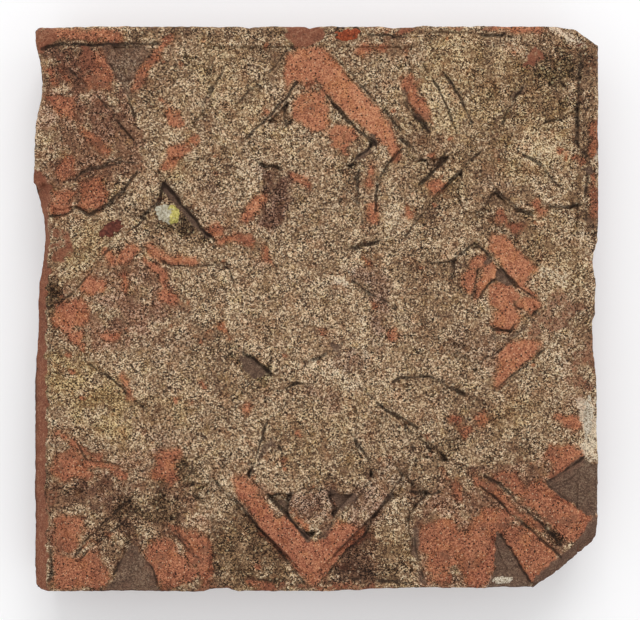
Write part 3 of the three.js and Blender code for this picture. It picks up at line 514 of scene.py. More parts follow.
# Raised or sunk places: x, y, radius, height
LUMPS = [
    (21.5, 25.0, 3.2, 0.3), (12, -8, 5, 0.2), (-6, 4, 6, 0.15), (6, 2, 4, -0.2), (-1, -8, 4, -0.2),
    (-10, -4, 5, 0.2), (3, 10, 5, 0.15), (8, 10, 3, -0.2), (26, -12, 6, 0.15), (-26, 2, 6, 0.15),
    (34, 3, 5, 0.1), (-30, -12, 6, -0.15), (29, 18, 6, 0.15), (24, 12, 3, -0.25), (66, -41.5, 1.0, -0.5),
    (-68.6, -1.6, 2.2, -0.2), (-36, -50, 5, 0.2), (-18, 44, 5, 0.15), (-55, 44, 6, -0.15), (-22, 63, 7, -0.2),
    (28, 68, 3, 0.2), (34, 53, 3.5, 0.25), (60, 46, 6, 0.2), (-65, 16, 6, -0.15),
]
# Zones of the crust by strength, width and points. The dark zones are dark crust and lichen, and in places
# painted shade, as at the top of the north-east recess
DARK_AND_SHADE = [
    (0.9, 2.6, (70.4, 70), (70.6, 30)),
    (0.8, 0, (-20, -56), (-8, -70), (-4, -74), (-28, -75), (-28, -62)),
    (0.9, 0, (6, -68), (14, -58), (17, -62), (16, -74), (2, -74)),
    (0.5, 6, (6, -50), (14, -44)),
    (0.5, 0, (-14, 37), (-6.4, 36.4), (-6.4, 28), (-9.5, 21), (-15, 21.5)),
    (0.8, 0, (-41, 34), (-28.5, 20), (-33, 18.4), (-38.5, 23), (-41, 29)),
    (0.7, 4, (39, 14), (37.6, 8)),
    (0.35, 5, (-44, 72), (-36, 66)),
    (0.65, 0, (52, 66), (58, 72), (70, 72), (71, 52), (62, 50), (55, 57)),
    (0.6, 0, (38, 44), (50, 52), (56, 46), (48, 36), (40, 33)),
    (0.5, 6, (30, 26), (40, 32)),
    (0.5, 5, (48, 31), (56, 30)),
    (0.35, 8, (28, 46), (30, 38)),
    (0.9, 0, (-26, -50), (-14, -60), (-6, -73), (-28, -74), (-27, -62)),
    (0.7, 0, (9, -66), (16, -60), (24, -66), (24, -73), (6, -73)),
    (0.6, 0, (-68, -47), (-60, -46.5), (-48, -44), (-38, -47), (-28, -43), (-27, -50), (-40, -60), (-58, -60),
     (-66, -54)),
    (0.6, 0, (26, -60), (33, -48), (42, -42), (32, -37), (24, -44)),
    (0.8, 5, (-70.5, 10), (-69.5, 2)),
    (0.4, 8, (-10, 34), (-4, 27)),
    (0.4, 10, (-28, -10), (-20, -20)),
    (0.6, 4, (62, -59), (66, -62)),
    (0.6, 4, (49, -60), (53, -60)),
    (0.5, 7, (40, 5), (38, 12)),
    (0.5, 6, (-36, 26), (-42, 22)),
    (0.5, 8, (-64, 36), (-52, 35)),
    (0.15, 6, (-40, 66), (-30, 62)),
    (0.4, 7, (10, 44), (12, 36)),
    (0.4, 6, (15, -52), (9, -58)),
    (0.3, 7.5, (-2, -52), (2, -54)),
    (0.35, 9, (-26, 36), (-22, 28)),
    (0.45, 9, (46, 60), (50, 54)),
    (0.4, 9, (58, 18), (46, 28)),
    (0.4, 6, (-14, 70), (-8, 64)),
    (0.4, 12, (40, -26), (52, -38)),
    (0.5, 5, (74, -2), (74, -30)),
    (0.5, 3, (-70, -75), (-24, -75)),
    (1.0, 4, (73.5, 68), (73.5, 20)),
    (0.85, 4, (6, 75), (30, 75)),
    (0.75, 4, (-48, 75), (-12, 75)),
    (0.4, 12, (-4, -36), (4, -50)),
    (0.35, 14, (36, -4), (30, 10)),
    (0.35, 0, (26, -57), (34, -46), (46, -40), (60, -42), (62, -48), (50, -53), (38, -53)),
    (0.3, 0, (-72, 68), (-60, 70), (-50, 58), (-46, 40), (-58, 32), (-72, 34)),
    (0.7, 0, (-73, 71), (-60, 70.6), (-60, 63), (-66, 58), (-73, 60)),
    (0.5, 0, (-46, 70), (-38, 69), (-40, 60), (-46, 52), (-50, 56)),
    (0.45, 7, (-68, 38), (-60, 32)),
    (0.2, 0, (-72, 2), (-61, 4), (-60, -10), (-66, -14), (-72, -8)),
    (0.3, 4, (-52, 14), (-38, 4)),
    (0.35, 7, (-18, -50), (-1, -69)),
    (0.5, 3, (45.5, 71), (46.5, 64)),
    (0.7, 0, (-58, -58), (-47, -57), (-42, -60), (-46, -65), (-51, -63), (-53, -70), (-59, -64)),
    (0.55, 6, (-37, -44), (-31, -47)),
    (0.5, 3, (-71, -40), (-71.5, -60)),
    (0.35, 6, (-1, -69), (9, -60)),
]
LICHEN = [
    (0.8, 0, (-41, 34), (-28.5, 20), (-33, 18.4), (-40, 21), (-43, 25)),
    (0.9, 6, (60, 66), (68, 58)),
    (0.8, 4, (66, 70), (69, 55)),
    (0.6, 5, (50, 58), (54, 52)),
    (0.9, 3.4, (-70.8, 10), (-70.5, 2)),
    (0.9, 6, (-37, -44), (-31, -46)),
    (0.9, 8, (-50, -53), (-40, -54)),
    (0.9, 6, (-21, -12), (-15, -17)),
    (0.6, 4, (-62, -62), (-50, -54)),
    (0.6, 3, (-38, -60), (-33, -66)),
    (0.8, 4, (62, -59), (66, -62)),
    (0.8, 4, (48.6, -59), (52.6, -61)),
    (0.6, 3, (-40, 22), (-36, 20)),
    (0.5, 5, (-36, 66), (-31, 63)),
    (0.6, 5, (32, -40), (36, -38)),
    (0.5, 5, (42, -58), (44, -63)),
    (0.5, 3, (-14, 44), (-10, 40)),
    (0.5, 4, (-4, -50), (2, -51)),
    (0.4, 6, (32, 26), (30, 20)),
]
PURPLE = [
    (1.0, 0, (-14, 37), (-6.4, 36.4), (-6.4, 28), (-9.5, 21), (-15, 21.5)),
    (0.8, 0, (6, -56), (14, -44), (20, -50), (14, -60)),
    (0.7, 0, (6, -68), (14, -58), (17, -62), (16, -74), (2, -74)),
    (0.3, 0, (-58, 6), (-40, 6), (-34, -4), (-40, -14), (-56, -6)),
    (0.45, 9, (-66, 62), (-56, 50)),
    (0.8, 5, (16.4, 6), (16.4, -8)),
    (0.8, 4, (13, 9), (16, 6)),
    (0.8, 4, (0, -21.6), (4, -25.6)),
    (0.7, 4, (8, -13.2), (11, -15.6)),
    (0.7, 5, (10, -52), (15, -50)),
    (0.9, 8, (-4, -52), (3, -53)),
    (0.5, 7, (28, 44), (32, 42)),
    (0.35, 12, (-50, 0), (-40, -8)),
    (0.5, 8, (-60, -50), (-52, -49)),
    (0.5, 8, (-44, -28), (-40, -34)),
    (0.4, 8, (40, -8), (46, -12)),
    (0.4, 6, (-30, 34), (-27, 28)),
    (0.4, 6, (20, -44), (28, -52)),
    (0.6, 0, (-58, 70), (-43, 70), (-48, 56), (-54, 60)),
    (0.6, 6, (-70, 67), (-62, 68)),
]
OLIVE = [
    (0.9, 12, (-66, -18), (-56, -28)),
    (0.6, 8, (-46, -26), (-38, -28)),
    (0.6, 10, (-66, 12), (-60, 18)),
    (0.35, 12, (-26, 64), (-20, 54)),
    (0.4, 8, (16, -62), (24, -68)),
    (0.5, 7, (50, -30), (56, -27)),
    (0.5, 6, (-38, 38), (-34, 36)),
    (0.5, 26, (40, 62), (56, 48)),
    (0.35, 14, (30, 50), (34, 36)),
    (0.4, 14, (-20, -64), (-16, -70)),
    (0.35, 12, (60, 22), (66, 10)),
    (0.3, 12, (4, -28), (-6, -36)),
]
# Pale crust, and in places painted highlights on the raised lobes
PALE_AND_LOBE_HIGHLIGHTS = [
    (1.0, 5.4, (72.8, -26.5), (73.4, -39)),
    (0.55, 3.4, (54, 45), (57, 40)),
    (0.7, 4, (61, 10.4), (67, 8)),
    (0.55, 5, (63, -11), (66, -17)),
    (0.8, 2.4, (72, -28), (74.6, -44)),
    (0.9, 3, (73, -34), (73.5, -39)),
    (0.9, 1.6, (75.4, 41), (75.2, 37.4)),
    (0.7, 2, (71, 20), (72, 17)),
    (0.7, 1.8, (47, -73.4), (52, -74)),
    (0.6, 3.6, (-73, 52), (-70.6, 49.6)),
    (0.4, 7, (32, 58), (35, 51)),
    (0.4, 4, (-3, -51), (3, -52)),
    (0.4, 4, (10, -54), (14, -51)),
    (0.25, 4, (2, 66), (18, 48)),
    (0.15, 10, (-28, 64), (-20, 52)),
    (0.5, 8, (58, 43), (64, 41)),
    (0.4, 5, (-22, 0), (-20, 3)),
    (0.5, 3, (-1, 5.5), (4, 7)),
    (0.9, 1.6, (8, 12.6), (9.6, 10.8)),
    (0.9, 4, (6, 7.4), (8.4, 6)),
    (0.7, 3, (12, -2), (13, -12)),
    (0.6, 4, (0, -14), (10, -20)),
    (0.5, 5, (20, 22), (22, 26)),
    (0.4, 4, (-46, -70), (-48, -74)),
    (0.5, 3, (60, -73), (64, -70)),
    (0.9, 1.8, (64, 75.6), (70.5, 71.6)),
    (0.5, 7, (-24, 30), (-18, 36)),
    (0.4, 8, (-28, -48), (-24, -56)),
]
RED = [
    (0.9, 0, (-73, 68), (-62, 69), (-52, 62), (-48, 50), (-46, 38), (-58, 30), (-73, 26)),
    (0.75, 0, (-70, 6), (-60, 12), (-40, 14), (-36, 0), (-50, -10), (-66, -12)),
    (0.9, 0, (26, -56), (34, -46), (50, -42), (66, -40), (74, -50), (72, -62), (56, -75), (28, -75)),
    (0.6, 0, (-71, -34), (-54, -40), (-44, -36), (-36, -44), (-28, -58), (-27, -75), (-71, -75)),
    (0.25, 0, (46, 22), (60, 6), (70, 0), (60, -10), (48, -20), (38, 4)),
    (0.45, 7, (70, -6), (71, -30)),
    (0.9, 8, (-18, -50), (-1, -69)),
    (0.9, 7, (-1, -69), (9, -60)),
    (0.4, 7, (-8, 58), (2, 66)),
    (0.4, 7, (14, 70), (24, 72)),
    (0.35, 6, (58, 72), (66, 74)),
    (0.4, 5, (-7, 36), (0, 33)),
    (0.5, 5, (-24, 24), (-14, 14)),
    (0.35, 6, (36, -29), (46, -30)),
    (0.3, 6, (-12, -8), (4, -8)),
    (0.4, 4, (14, 34), (15, 22)),
    (0.4, 6, (46, 36), (56, 24)),
]

# How far the crust fills the ground up: x, y, share of the relief
FILL = [
    (0, 0, 0.98), (-14, 0, 0.98), (14, 0, 0.95), (0, 14, 0.95), (0, -14, 0.95), (-25, 0, 0.97),
    (-40, 0, 0.97), (-55, 0, 0.95), (-68, 0, 0.85), (-62, 14, 0.85), (-62, -16, 0.9), (-48, -24, 0.9),
    (-32, -22, 0.93), (-24, 22, 0.85), (-36, 27, 0.8), (-31, 34, 0.8), (-52, 22, 0.75), (-66, 22, 0.75),
    (-72, 44, 0.95), (-72, 60, 0.85), (-24, 40, 0.8), (-24, 58, 0.72), (-17, 68, 0.7), (-45, 72, 0.85),
    (-30, 71, 0.85), (0, 56, 0.72), (-12, 46, 0.8), (11, 46, 0.86), (0, 62, 1.0), (9, 53, 0.9),
    (-9, 53, 0.72), (-10, 34, 0.75), (10, 34, 0.8), (0, 26, 0.92), (17, 62, 0.75), (24, 66, 0.8),
    (30, 72, 0.85), (23, 40, 0.75), (22, 28, 0.85), (34, 24, 0.85), (32, 34, 0.75), (44, 30, 0.7),
    (50, 72, 1.0), (48, 62, 1.0), (62, 48, 0.85), (71, 60, 0.75), (71, 30, 0.75), (60, 22, 0.82),
    (66, 12, 0.85), (52, 22, 0.8), (40, 17, 0.8), (46, 9, 0.86), (56, 4, 0.86), (56, -6, 0.85),
    (44, -4, 0.85), (34, 0, 0.92), (26, 8, 0.93), (28, -10, 0.92), (40, -14, 0.85), (66, -14, 0.88),
    (58, -24, 0.85), (48, -28, 0.85), (34, -24, 0.85), (24, -26, 0.88), (20, -38, 0.75), (26, -44, 0.7),
    (0, -26, 0.9), (-8, -34, 0.82), (8, -34, 0.8), (0, -46, 0.75), (-12, -50, 0.6), (12, -52, 0.6),
    (-7, -60, 0.6), (5, -60, 0.6), (-20, -60, 0.62), (-20, -70, 0.7), (16, -62, 0.6), (16, -72, 0.8),
    (52, -68, 0.8), (66, -52, 0.8), (72, -44, 0.85), (72, -30, 0.9), (25, -58, 0.6), (-25, -46, 0.75),
    (-30, -40, 0.85), (-22, -30, 0.85), (-17, -15.5, 0.8), (-26, -50, 0.7), (-40, -62, 0.8),
    (-52, -68, 0.8), (-68, -50, 0.85), (-70, -30, 0.9), (60, -74, 0.85), (38, -76, 0.85), (0, 73, 0.97),
    (-60, 73, 0.8), (0, -75, 0.9), (-50, -75, 0.85),
]
# How far the tops are worn down, in millimetres
WEAR = [
    (0, 0, 0.5), (-20, 0, 0.45), (-40, 0, 0.4), (-60, 0, 0.35), (0, 20, 0.3), (0, -20, 0.3), (22, 0, 0.3),
    (40, 0, 0.2), (60, 0, 0.25), (0, 45, 0.1), (0, 68, 0.2), (-45, 45, 0.3), (-65, 65, 0.3), (45, 45, 0.1),
    (65, 65, 0.3), (45, -45, 0.15), (65, -60, 0.15), (-45, -45, 0.25), (-60, -60, 0.2), (0, -45, 0.2),
    (0, -68, 0.1), (-25, 25, 0.4), (25, 25, 0.25), (25, -25, 0.3), (-25, -25, 0.4), (-30, 74, 0.45),
    (30, 74, 0.1), (-60, 74, 0.0), (74, 0, 0.5), (74, 40, 0.2), (-74, 50, 0.6), (-74, -40, 0.5),
    (0, -75, 0.6), (-50, -75, 0.6), (50, -75, 0.6), (74, -50, 0.5), (-74, 20, 0.5), (15, 75, 0.1),
]


LINE_WIDTH = 0.72  # how far a crack of width 1 reaches to each side


def carved(lines):
    """Depth of the union of cracks. Each is a depth, a width and points."""
    depth = np.zeros(GX.shape)
    for deepest, width, *points in lines:
        part = window(points, MARGIN)
        away = to_line(GX[part] + 0.5 * WANDER_X[part], GY[part] + 0.5 * WANDER_Y[part], points)
        depth[part] = np.maximum(depth[part], deepest * np.exp(-((away / (LINE_WIDTH * width)) ** 2)))
    return depth


# The corner that is broken off, measured as x - y: where brown clay starts to show and shows fully,
# where the face rounds off, where the crust ends, and where the side of the break begins
BREAK_BROWN = (130.4, 132.4)
BREAK_ROUND = 131.8
BREAK_CRUST = 133.5
BREAK_SIDE = 134.0
CHIP = (64, 70.2)  # the chipped corner lies beyond this x and this y

# The bevel along the west side
BEVEL_NORTH = 33  # y of its north end
BEVEL_INNER = -72.2  # x of its inner edge
BEVEL_FOOT = 19.4  # its height at the side
BEVEL_SLOPE = 0.8
NO_BEVEL = 12  # lifts it clear of the face north of its end

EDGE_ROUND = 1.6  # how far in the rounding of the tile's edge starts
DEEP_SHARE = 0.6  # how much of a hollow's depth shows as relief
GROUND_DROP = 0.12  # wear of the ground, below the CAD's
TOP_DROP = 0.2  # least wear of the figures' tops
FILL_GAP = 0.3  # how far below the tops the fullest crust stays
GROUND_SEAM = 0.25  # depth of the seam round a figure, on either side of it
FIGURE_SEAM = 0.10
GROUND_LEAST = SEAT + 0.35
FIGURE_LEAST = SEAT + 0.45

bare = drawn(BARE)
bare = np.maximum(bare, 1.25 * ragged(1.6, 41) + 0.6 * grain(0.45, 45) - 3.9)  # small flakes, not drawn
bare_part = smooth(-0.3, 0.5, bare)
brown = strongest(BROWN, 1.2)
deep = strongest(DEEP, 0.5, 0.6)
broken = smooth(*BREAK_BROWN, GX - GY + 0.8 * EDGE_NOISE)
dark_and_shade_part = strongest(DARK_AND_SHADE, 2.4)
lichen_part = strongest(LICHEN, 2.0)
purple_part = strongest(PURPLE, 2.0)
olive_part = strongest(OLIVE, 3.0)
pale_and_lobe_highlight = strongest(PALE_AND_LOBE_HIGHLIGHTS, 1.4)
red_part = strongest(RED, 2.6)
bevel_zone = smooth(-2, 2, BEVEL_NORTH - GY + EDGE_NOISE)
bevel_part = smooth(0.5, -0.3, GX - BEVEL_INNER + 0.5 * EDGE_NOISE) * bevel_zone
grooves = carved(LINES) ** 0.75 * (0.88 + 0.25 * np.clip(grain(1.2, 47), -1, 1))
lumps = np.zeros(GX.shape)
for x, y, radius, height in LUMPS:
    away = np.hypot(GX + WANDER_X - x, GY + WANDER_Y - y) / radius
    lumps += height * np.exp(-(away**2) * 1.6)

# Relief: broad shapes and fine texture, on the ground between the figures and on their tops
crust = 1 - np.clip(bare_part + bevel_part + 0.8 * brown, 0, 1)
rough = 0.12 * grain(0.36, 81) + 0.06 * ragged(0.9, 82, 3)
pits = np.clip(grain(0.38, 85) - 1.6, 0, 1.3)
shape = 0.15 * ragged(5, 91, 3) + 0.07 * ragged(2, 93, 2) + lumps - grooves * 0.55 - DEEP_SHARE * deep
texture = crust * rough + 0.03 * (1 - crust) * grain(0.36, 95) - 0.16 * pits * (0.4 + 0.6 * crust)
fill = np.clip(1 - 1.5 * (1 - anchored(FILL, 4.6)), 0, 1)
wear = np.clip(anchored(WEAR, 8.0), 0, 0.9)
figure_edge = 4 * figure_soft * (1 - figure_soft)
seam = figure_edge * np.clip(1.18 - fill, 0, 1) * 1.15 * (1 - 0.8 * np.clip(deep, 0, 1))
outer = np.maximum(np.maximum(np.abs(GX), np.abs(GY)) - HALF + EDGE_ROUND, 0)
round_edge = 0.22 * outer**2 + 0.45 * np.clip(GX - GY - BREAK_ROUND, 0, 4)
bevel_top = BEVEL_FOOT + (GX + HALF) * BEVEL_SLOPE + 0.12 * ragged(1.5, 97) + NO_BEVEL * (1 - bevel_zone)
ground_field = GROUND + fill * (FIGURE_TOP - GROUND - FILL_GAP) + shape + texture - GROUND_DROP
figure_field = np.maximum(FIGURE_TOP - TOP_DROP - wear + shape + texture, ground_field)


def finished_field(field, seam_depth, least):
    """Adds the seam, the bevel and the rounded edge to a field of heights."""
    return np.maximum(np.minimum(field - seam_depth * seam, bevel_top) - round_edge, least)


ground_field = finished_field(ground_field, GROUND_SEAM, GROUND_LEAST)
figure_field = finished_field(figure_field, FIGURE_SEAM, FIGURE_LEAST)
face = np.where(figure, figure_field, ground_field)

# Painted shade and dirt darken the hollows, cracks and seams, and a painted highlight lightens the ridges
relief_fine = blur(face, 0.22) - blur(face, 0.9)
relief_wide = blur(face, 0.5) - blur(face, 2.4)
crevice = smooth(0.08, 0.5, -relief_fine) * 0.4 + smooth(0.12, 0.9, -relief_wide) * 0.35
crevice = crevice * (1 - 0.6 * np.clip(deep, 0, 1))
dirt_and_shade = np.clip(crevice + grooves + 0.5 * seam, 0, 1)
# Pale crust zones, and a painted highlight on the ridges
light = np.clip(0.3 * smooth(0.05, 0.35, relief_fine) + pale_and_lobe_highlight, 0, 1)

# What the shaders read at each point of a piece, in threes
FIELDS = {
    "cover": [np.clip(bare / 3 + 0.5, 0, 1), dirt_and_shade, light],
    "tint": [red_part, purple_part, olive_part],
    "spots": [lichen_part, np.clip(np.maximum(bevel_part, brown) + 0.9 * broken, 0, 1), dark_and_shade_part],
    "depth": [np.clip(deep + 0.75 * broken, 0, 1), crust, figure_soft * np.clip(1.4 - fill, 0.2, 1)],
}

# The outline of the face wanders inside the CAD square: distance in from each side
WEST_IN = [(-76, 0.3), (-70, 0.05), (-20, 0), (-14, 0.3), (-8.4, 0.8), (-3, 1.0), (2.4, 0.8), (7.8, 1.3),
           (13, 2.3), (18.5, 2.8), (24, 2.4), (29, 1.3), (34, 0.1), (40, 0.3), (50, 0.5), (53, 1.3),
           (56, 2.1), (61, 2.4), (67, 1.6), (72, 0.5), (76, 0.4)]
NORTH_IN = [(-76, 0.4), (-71, 0.3), (-60, 0), (-20, 0.1), (-17.7, 0.4), (-14, 0), (-3, 0.1), (-1.6, 0.6),
            (1, 0.1), (17, 0.1), (20, 0.5), (25, 0.3), (29, 0), (76, 0)]
EAST_IN = [(-76, 0), (-40, 0), (-32, 0.3), (-20, 0.4), (-13.7, 1.0), (-10, 1.5), (-3, 1.5), (-1, 0.8),
           (7, 0.7), (11, 1.4), (15, 1.3), (18.5, 0.1), (76, 0)]
SOUTH_IN = [(-76, 0.2), (-60, 0), (-30, 0), (-28.4, 0.7), (-24, 0.9), (-21, 0.1), (0, 0.1), (10, 0.3),
            (14, 0.7), (25, 0.9), (58, 0.9), (76, 0.9)]
CORNER_ROUND = 2.0
EDGE_BLEND = 7.0  # how deep the wandering of the outline reaches
LATTICE = (73856093, 19349663, 83492791)  # mixes the cell numbers of the noise
NOISE_VALUES = 4096


def value_noise(points, cell, seed):
    """Smooth noise from -1 to 1 in space, on a lattice of that cell."""
    table = np.random.default_rng(seed).uniform(-1, 1, NOISE_VALUES)
    q = np.asarray(points) / cell + 1000.0
    base = np.floor(q).astype(np.int64)
    part = q - base
    part = part * part * (3 - 2 * part)
    total = np.zeros(len(q))
    for dx in (0, 1):
        for dy in (0, 1):
            for dz in (0, 1):
                key = (base[:, 0] + dx) * LATTICE[0] ^ (base[:, 1] + dy) * LATTICE[1]
                key ^= (base[:, 2] + dz) * LATTICE[2]
                weight = np.ones(len(q))
                for axis, d in enumerate((dx, dy, dz)):
                    weight *= part[:, axis] if d else 1 - part[:, axis]
                total += weight * table[key & (NOISE_VALUES - 1)]
    return total


def fractal(points, cell, seed, octaves=3):
    return sum(value_noise(points, cell / 2**i, seed + i) / 2**i for i in range(octaves))


def inset(table, along, seed):
    """How far in the worn outline lies, along one side."""
    xs, ys = zip(*table)
    line = np.stack([along, np.zeros_like(along), np.zeros_like(along)], 1)
    ripple = 0.10 * (1 + value_noise(line, 2.3, seed)) + 0.07 * (1 + value_noise(line, 0.9, seed + 1))
    return np.interp(along, xs, ys) + ripple


def worn_outline(p):
    """Moves points near the sides inwards, to the chipped outline."""
    out = p.copy()
    corner = HALF - CORNER_ROUND
    over = np.abs(out[:, :2]) - corner
    both = (over > 0).all(1)
    reach = over[both]
    size = np.linalg.norm(reach, axis=1)
    kept = reach * (reach.max(1) / np.maximum(size, 1e-6))[:, None]
    out[both, :2] = np.sign(out[both, :2]) * (corner + kept)
    x = out[:, 0].copy()
    y = out[:, 1].copy()

    def falloff(distance):
        return np.clip(1 - distance / EDGE_BLEND, 0, 1) ** 1.5

    out[:, 0] += inset(WEST_IN, y, 101) * falloff(x + HALF) - inset(EAST_IN, y, 103) * falloff(HALF - x)
    out[:, 1] += inset(SOUTH_IN, x, 105) * falloff(y + HALF) - inset(NORTH_IN, x, 107) * falloff(HALF - y)
    return out


def mesh_arrays(mesh):
    points = np.empty(len(mesh.vertices) * 3, np.float32)
    mesh.vertices.foreach_get("co", points)
    edges = np.empty(len(mesh.edges) * 2, np.int32)
    mesh.edges.foreach_get("vertices", edges)
    return points.reshape(-1, 3).astype(float) / MM, edges.reshape(-1, 2)


def set_points(mesh, points):
    mesh.vertices.foreach_set("co", (points * MM).astype(np.float32).ravel())
    mesh.update()


def normals_of(mesh):
    values = np.empty(len(mesh.vertices) * 3, np.float32)
    mesh.vertex_normals.foreach_get("vector", values)
    return values.reshape(-1, 3).astype(float)


def relaxed(points, edges, rounds):
    """Laplacian smoothing, which rounds the worn edges."""
    degree = np.bincount(edges.ravel(), minlength=len(points))[:, None].clip(1)
    for _ in range(rounds):
        mean = np.zeros_like(points)
        for axis in range(3):
            mean[:, axis] = np.bincount(edges[:, 0], points[edges[:, 1], axis], len(points))
            mean[:, axis] += np.bincount(edges[:, 1], points[edges[:, 0], axis], len(points))
        points = (points + mean / degree) / 2
    return points


def paint(mesh, points, side=None):
    """Stores what covers each point of the mesh, with its painted shade and highlights, for the shaders."""
    x, y = points[:, 0], points[:, 1]
    for name, channels in FIELDS.items():
        attribute = mesh.attributes.new(name, "FLOAT_COLOR", "POINT")
        values = np.ones((len(points), 4), np.float32)
        for index, channel in enumerate(channels):
            values[:, index] = sample(channel, x, y)
        attribute.data.foreach_set("color", values.ravel())
    attribute = mesh.attributes.new("flank", "FLOAT", "POINT")
    values = np.zeros(len(points)) if side is None else side
    attribute.data.foreach_set("value", values.astype(np.float32))


def added(name, data):
    """A new object in the scene."""
    piece = bpy.data.objects.new(name, data)
    bpy.context.scene.collection.objects.link(piece)
    return piece


def remeshed(name, voxel):
    """A finely and evenly meshed copy of a CAD node."""
    piece = added("worn_" + name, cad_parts[name].data.copy())
    piece.data.materials.clear()
    remesh = piece.modifiers.new("Remesh", "REMESH")
    remesh.mode = "VOXEL"
    remesh.voxel_size = voxel * MM
    remesh.adaptivity = 0
    graph = bpy.context.evaluated_depsgraph_get()
    fine = bpy.data.meshes.new_from_object(piece.evaluated_get(graph))
    piece.modifiers.clear()
    piece.data = fine
    fine.name = "worn_" + name
    return piece


def finish_piece(piece, node, slot):
    """Shades a piece, hides the CAD node that it stands for, hangs it on the root it rides on and gives it
    the material of its slot.
    """
    mesh = piece.data
    mesh.polygons.foreach_set("use_smooth", np.ones(len(mesh.polygons), bool))
    mesh.materials.clear()
    mesh.materials.append(materials[slot])
    mesh.update()
    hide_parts(node)
    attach(piece, "root")


VOXEL = 0.34
SIDE = HALF - 0.02  # sides of the worn pieces before the outline wears
SWELL = 0.22  # closes the joint between neighbours
RIM_SWELL = 0.34
BOSS_SWELL = 0.9
BOSS_LIFT = 0.04
FLAT_SHARE = 0.6  # millimetres below a figure's top that still count as its top

# The top of the CAD's west rim slopes from this height at the side
RIM_FOOT = 19.3
RIM_RISE = 3
RIM_RUN = 3.8
RIM_LEAST = SEAT + 0.1


def swell_of(name):
    if name == "rosette_boss":
        return BOSS_SWELL
    return RIM_SWELL if name.startswith("rim_") else SWELL


def slot_of(name):
    """The record's material slot of a figure."""
    kind = name.split("_")[0]
    return kind + "_clay" if kind in ("rim", "frame", "trefoil", "leaf") else "crusted_clay"


def wear_figure(name):
    """A figure of the pattern: rounded, worn and crusted as the fields say."""
    piece = remeshed(name, VOXEL)
    mesh = piece.data
    cad_points, edges = mesh_arrays(mesh)
    top = cad_points[:, 2].max()
    points = relaxed(cad_points, edges, 3)
    set_points(mesh, points)
    normals = normals_of(mesh)
    wobble = swell_of(name) + 0.08 * value_noise(points, 2.2, 131)
    points[:, :2] += normals[:, :2] * wobble[:, None]
    points[:, :2] = np.clip(points[:, :2], -SIDE, SIDE)
    share = np.clip((cad_points[:, 2] - SEAT) / (top - FLAT_SHARE - SEAT), 0, 1)
    if name == "rim_west":
        level = np.clip(RIM_FOOT + (cad_points[:, 0] + HALF) * RIM_RISE / RIM_RUN, RIM_LEAST, top)
        share = np.clip((cad_points[:, 2] - SEAT) / (level - 0.25 - SEAT).clip(0.1), 0, 1)
    target = sample(figure_field, points[:, 0], points[:, 1])
    points[:, 2] = np.where(share > 0, SEAT + share * (target - SEAT), points[:, 2])
    if name == "rosette_boss":
        points[:, 2] += BOSS_LIFT
    points = worn_outline(points)
    flank = flank_share(cad_points, normals)
    bumps = 0.16 * fractal(points, 1.9, 141) + 0.07 * value_noise(points, 0.6, 145)
    inward = -np.abs(bumps) * flank
    sideways = normals[:, :2] * (inward + 0.5 * bumps * (1 - np.abs(normals[:, 2])) * (1 - flank))[:, None]
    points[:, :2] += sideways
    points[:, 2] = np.minimum(points[:, 2], HIGHEST)
    set_points(mesh, points)
    paint(mesh, points, flank)
    finish_piece(piece, name, slot_of(name))


def flank_share(cad_points, normals):
    """1 on the outer sides of the tile and its breaks, 0 on the face."""
    x, y = cad_points[:, 0], cad_points[:, 1]
    outer = np.maximum(np.abs(x), np.abs(y)) > HALF - 0.5
    chipped = (x > CHIP[0]) & (y > CHIP[1])
    upright = smooth(0.75, 0.45, np.abs(normals[:, 2]))
    return upright * (outer | (x - y > BREAK_SIDE) | chipped)


# Body: a slab with a rough back, worn sides and pockets under the figures
near_ground = grown((~figure) & (np.abs(GX) < HALF) & (np.abs(GY) < HALF), 3)
pocketed = np.where(near_ground, 0.0, 1.0)
POCKET_FLOOR = SEAT - 0.25

# The crust on the ground is finer than the body under it
CRUST_CELL = 0.36
CRUST_DEPTH = 0.35  # how far the body lies below the crust's face
CRUST_UNDER = 0.3  # how far the crust reaches into the body
slab = footprint(["tile_body"]) | figure
crusted = near_ground & (GX - GY < BREAK_CRUST) & ~grown(~slab, 4)
crusted = crusted.astype(float)


def make_crust(name, side_x, side_y):
    """A closed sheet over the ground of one quarter of the face."""
    count = int(2 * HALF / CRUST_CELL)
    line = np.linspace(-HALF, HALF, count + 1)
    middle = (line[1:] + line[:-1]) / 2
    cx, cy = np.meshgrid(middle, middle)
    keep = (sample(crusted, cx, cy) > 0.5) & (cx * side_x > 0) & (cy * side_y > 0)
    rows, columns = np.nonzero(keep)
    n = count + 1
    corner = rows * n + columns
    loops = np.stack([corner, corner + 1, corner + n + 1, corner + n], 1)
    used, compact = np.unique(loops, return_inverse=True)
    loops = compact.reshape(-1, 4)
    total = len(used)
    upper = worn_outline(np.c_[line[used % n], line[used // n], np.zeros(total)])
    upper[:, 2] = sample(ground_field, upper[:, 0], upper[:, 1])
    lower = upper - np.array([0, 0, CRUST_DEPTH + CRUST_UNDER])
    faces = [loops, loops[:, ::-1] + total]
    padded = np.pad(keep, 1)
    sides = ((0, -1, 0, 1), (1, 0, 1, 2), (0, 1, 2, 3), (-1, 0, 3, 0))
    for dx, dy, a, b in sides:
        bare_side = ~padded[rows + 1 + dy, columns + 1 + dx]
        first, second = loops[bare_side, a], loops[bare_side, b]
        faces.append(np.stack([first, first + total, second + total, second], 1))
    faces = np.vstack(faces)
    mesh = bpy.data.meshes.new(name)
    mesh.from_pydata((np.vstack([upper, lower]) * MM).tolist(), [], faces.tolist())
    paint(mesh, np.vstack([upper, lower]))
    finish_piece(added(name, mesh), "tile_body", "body_clay")


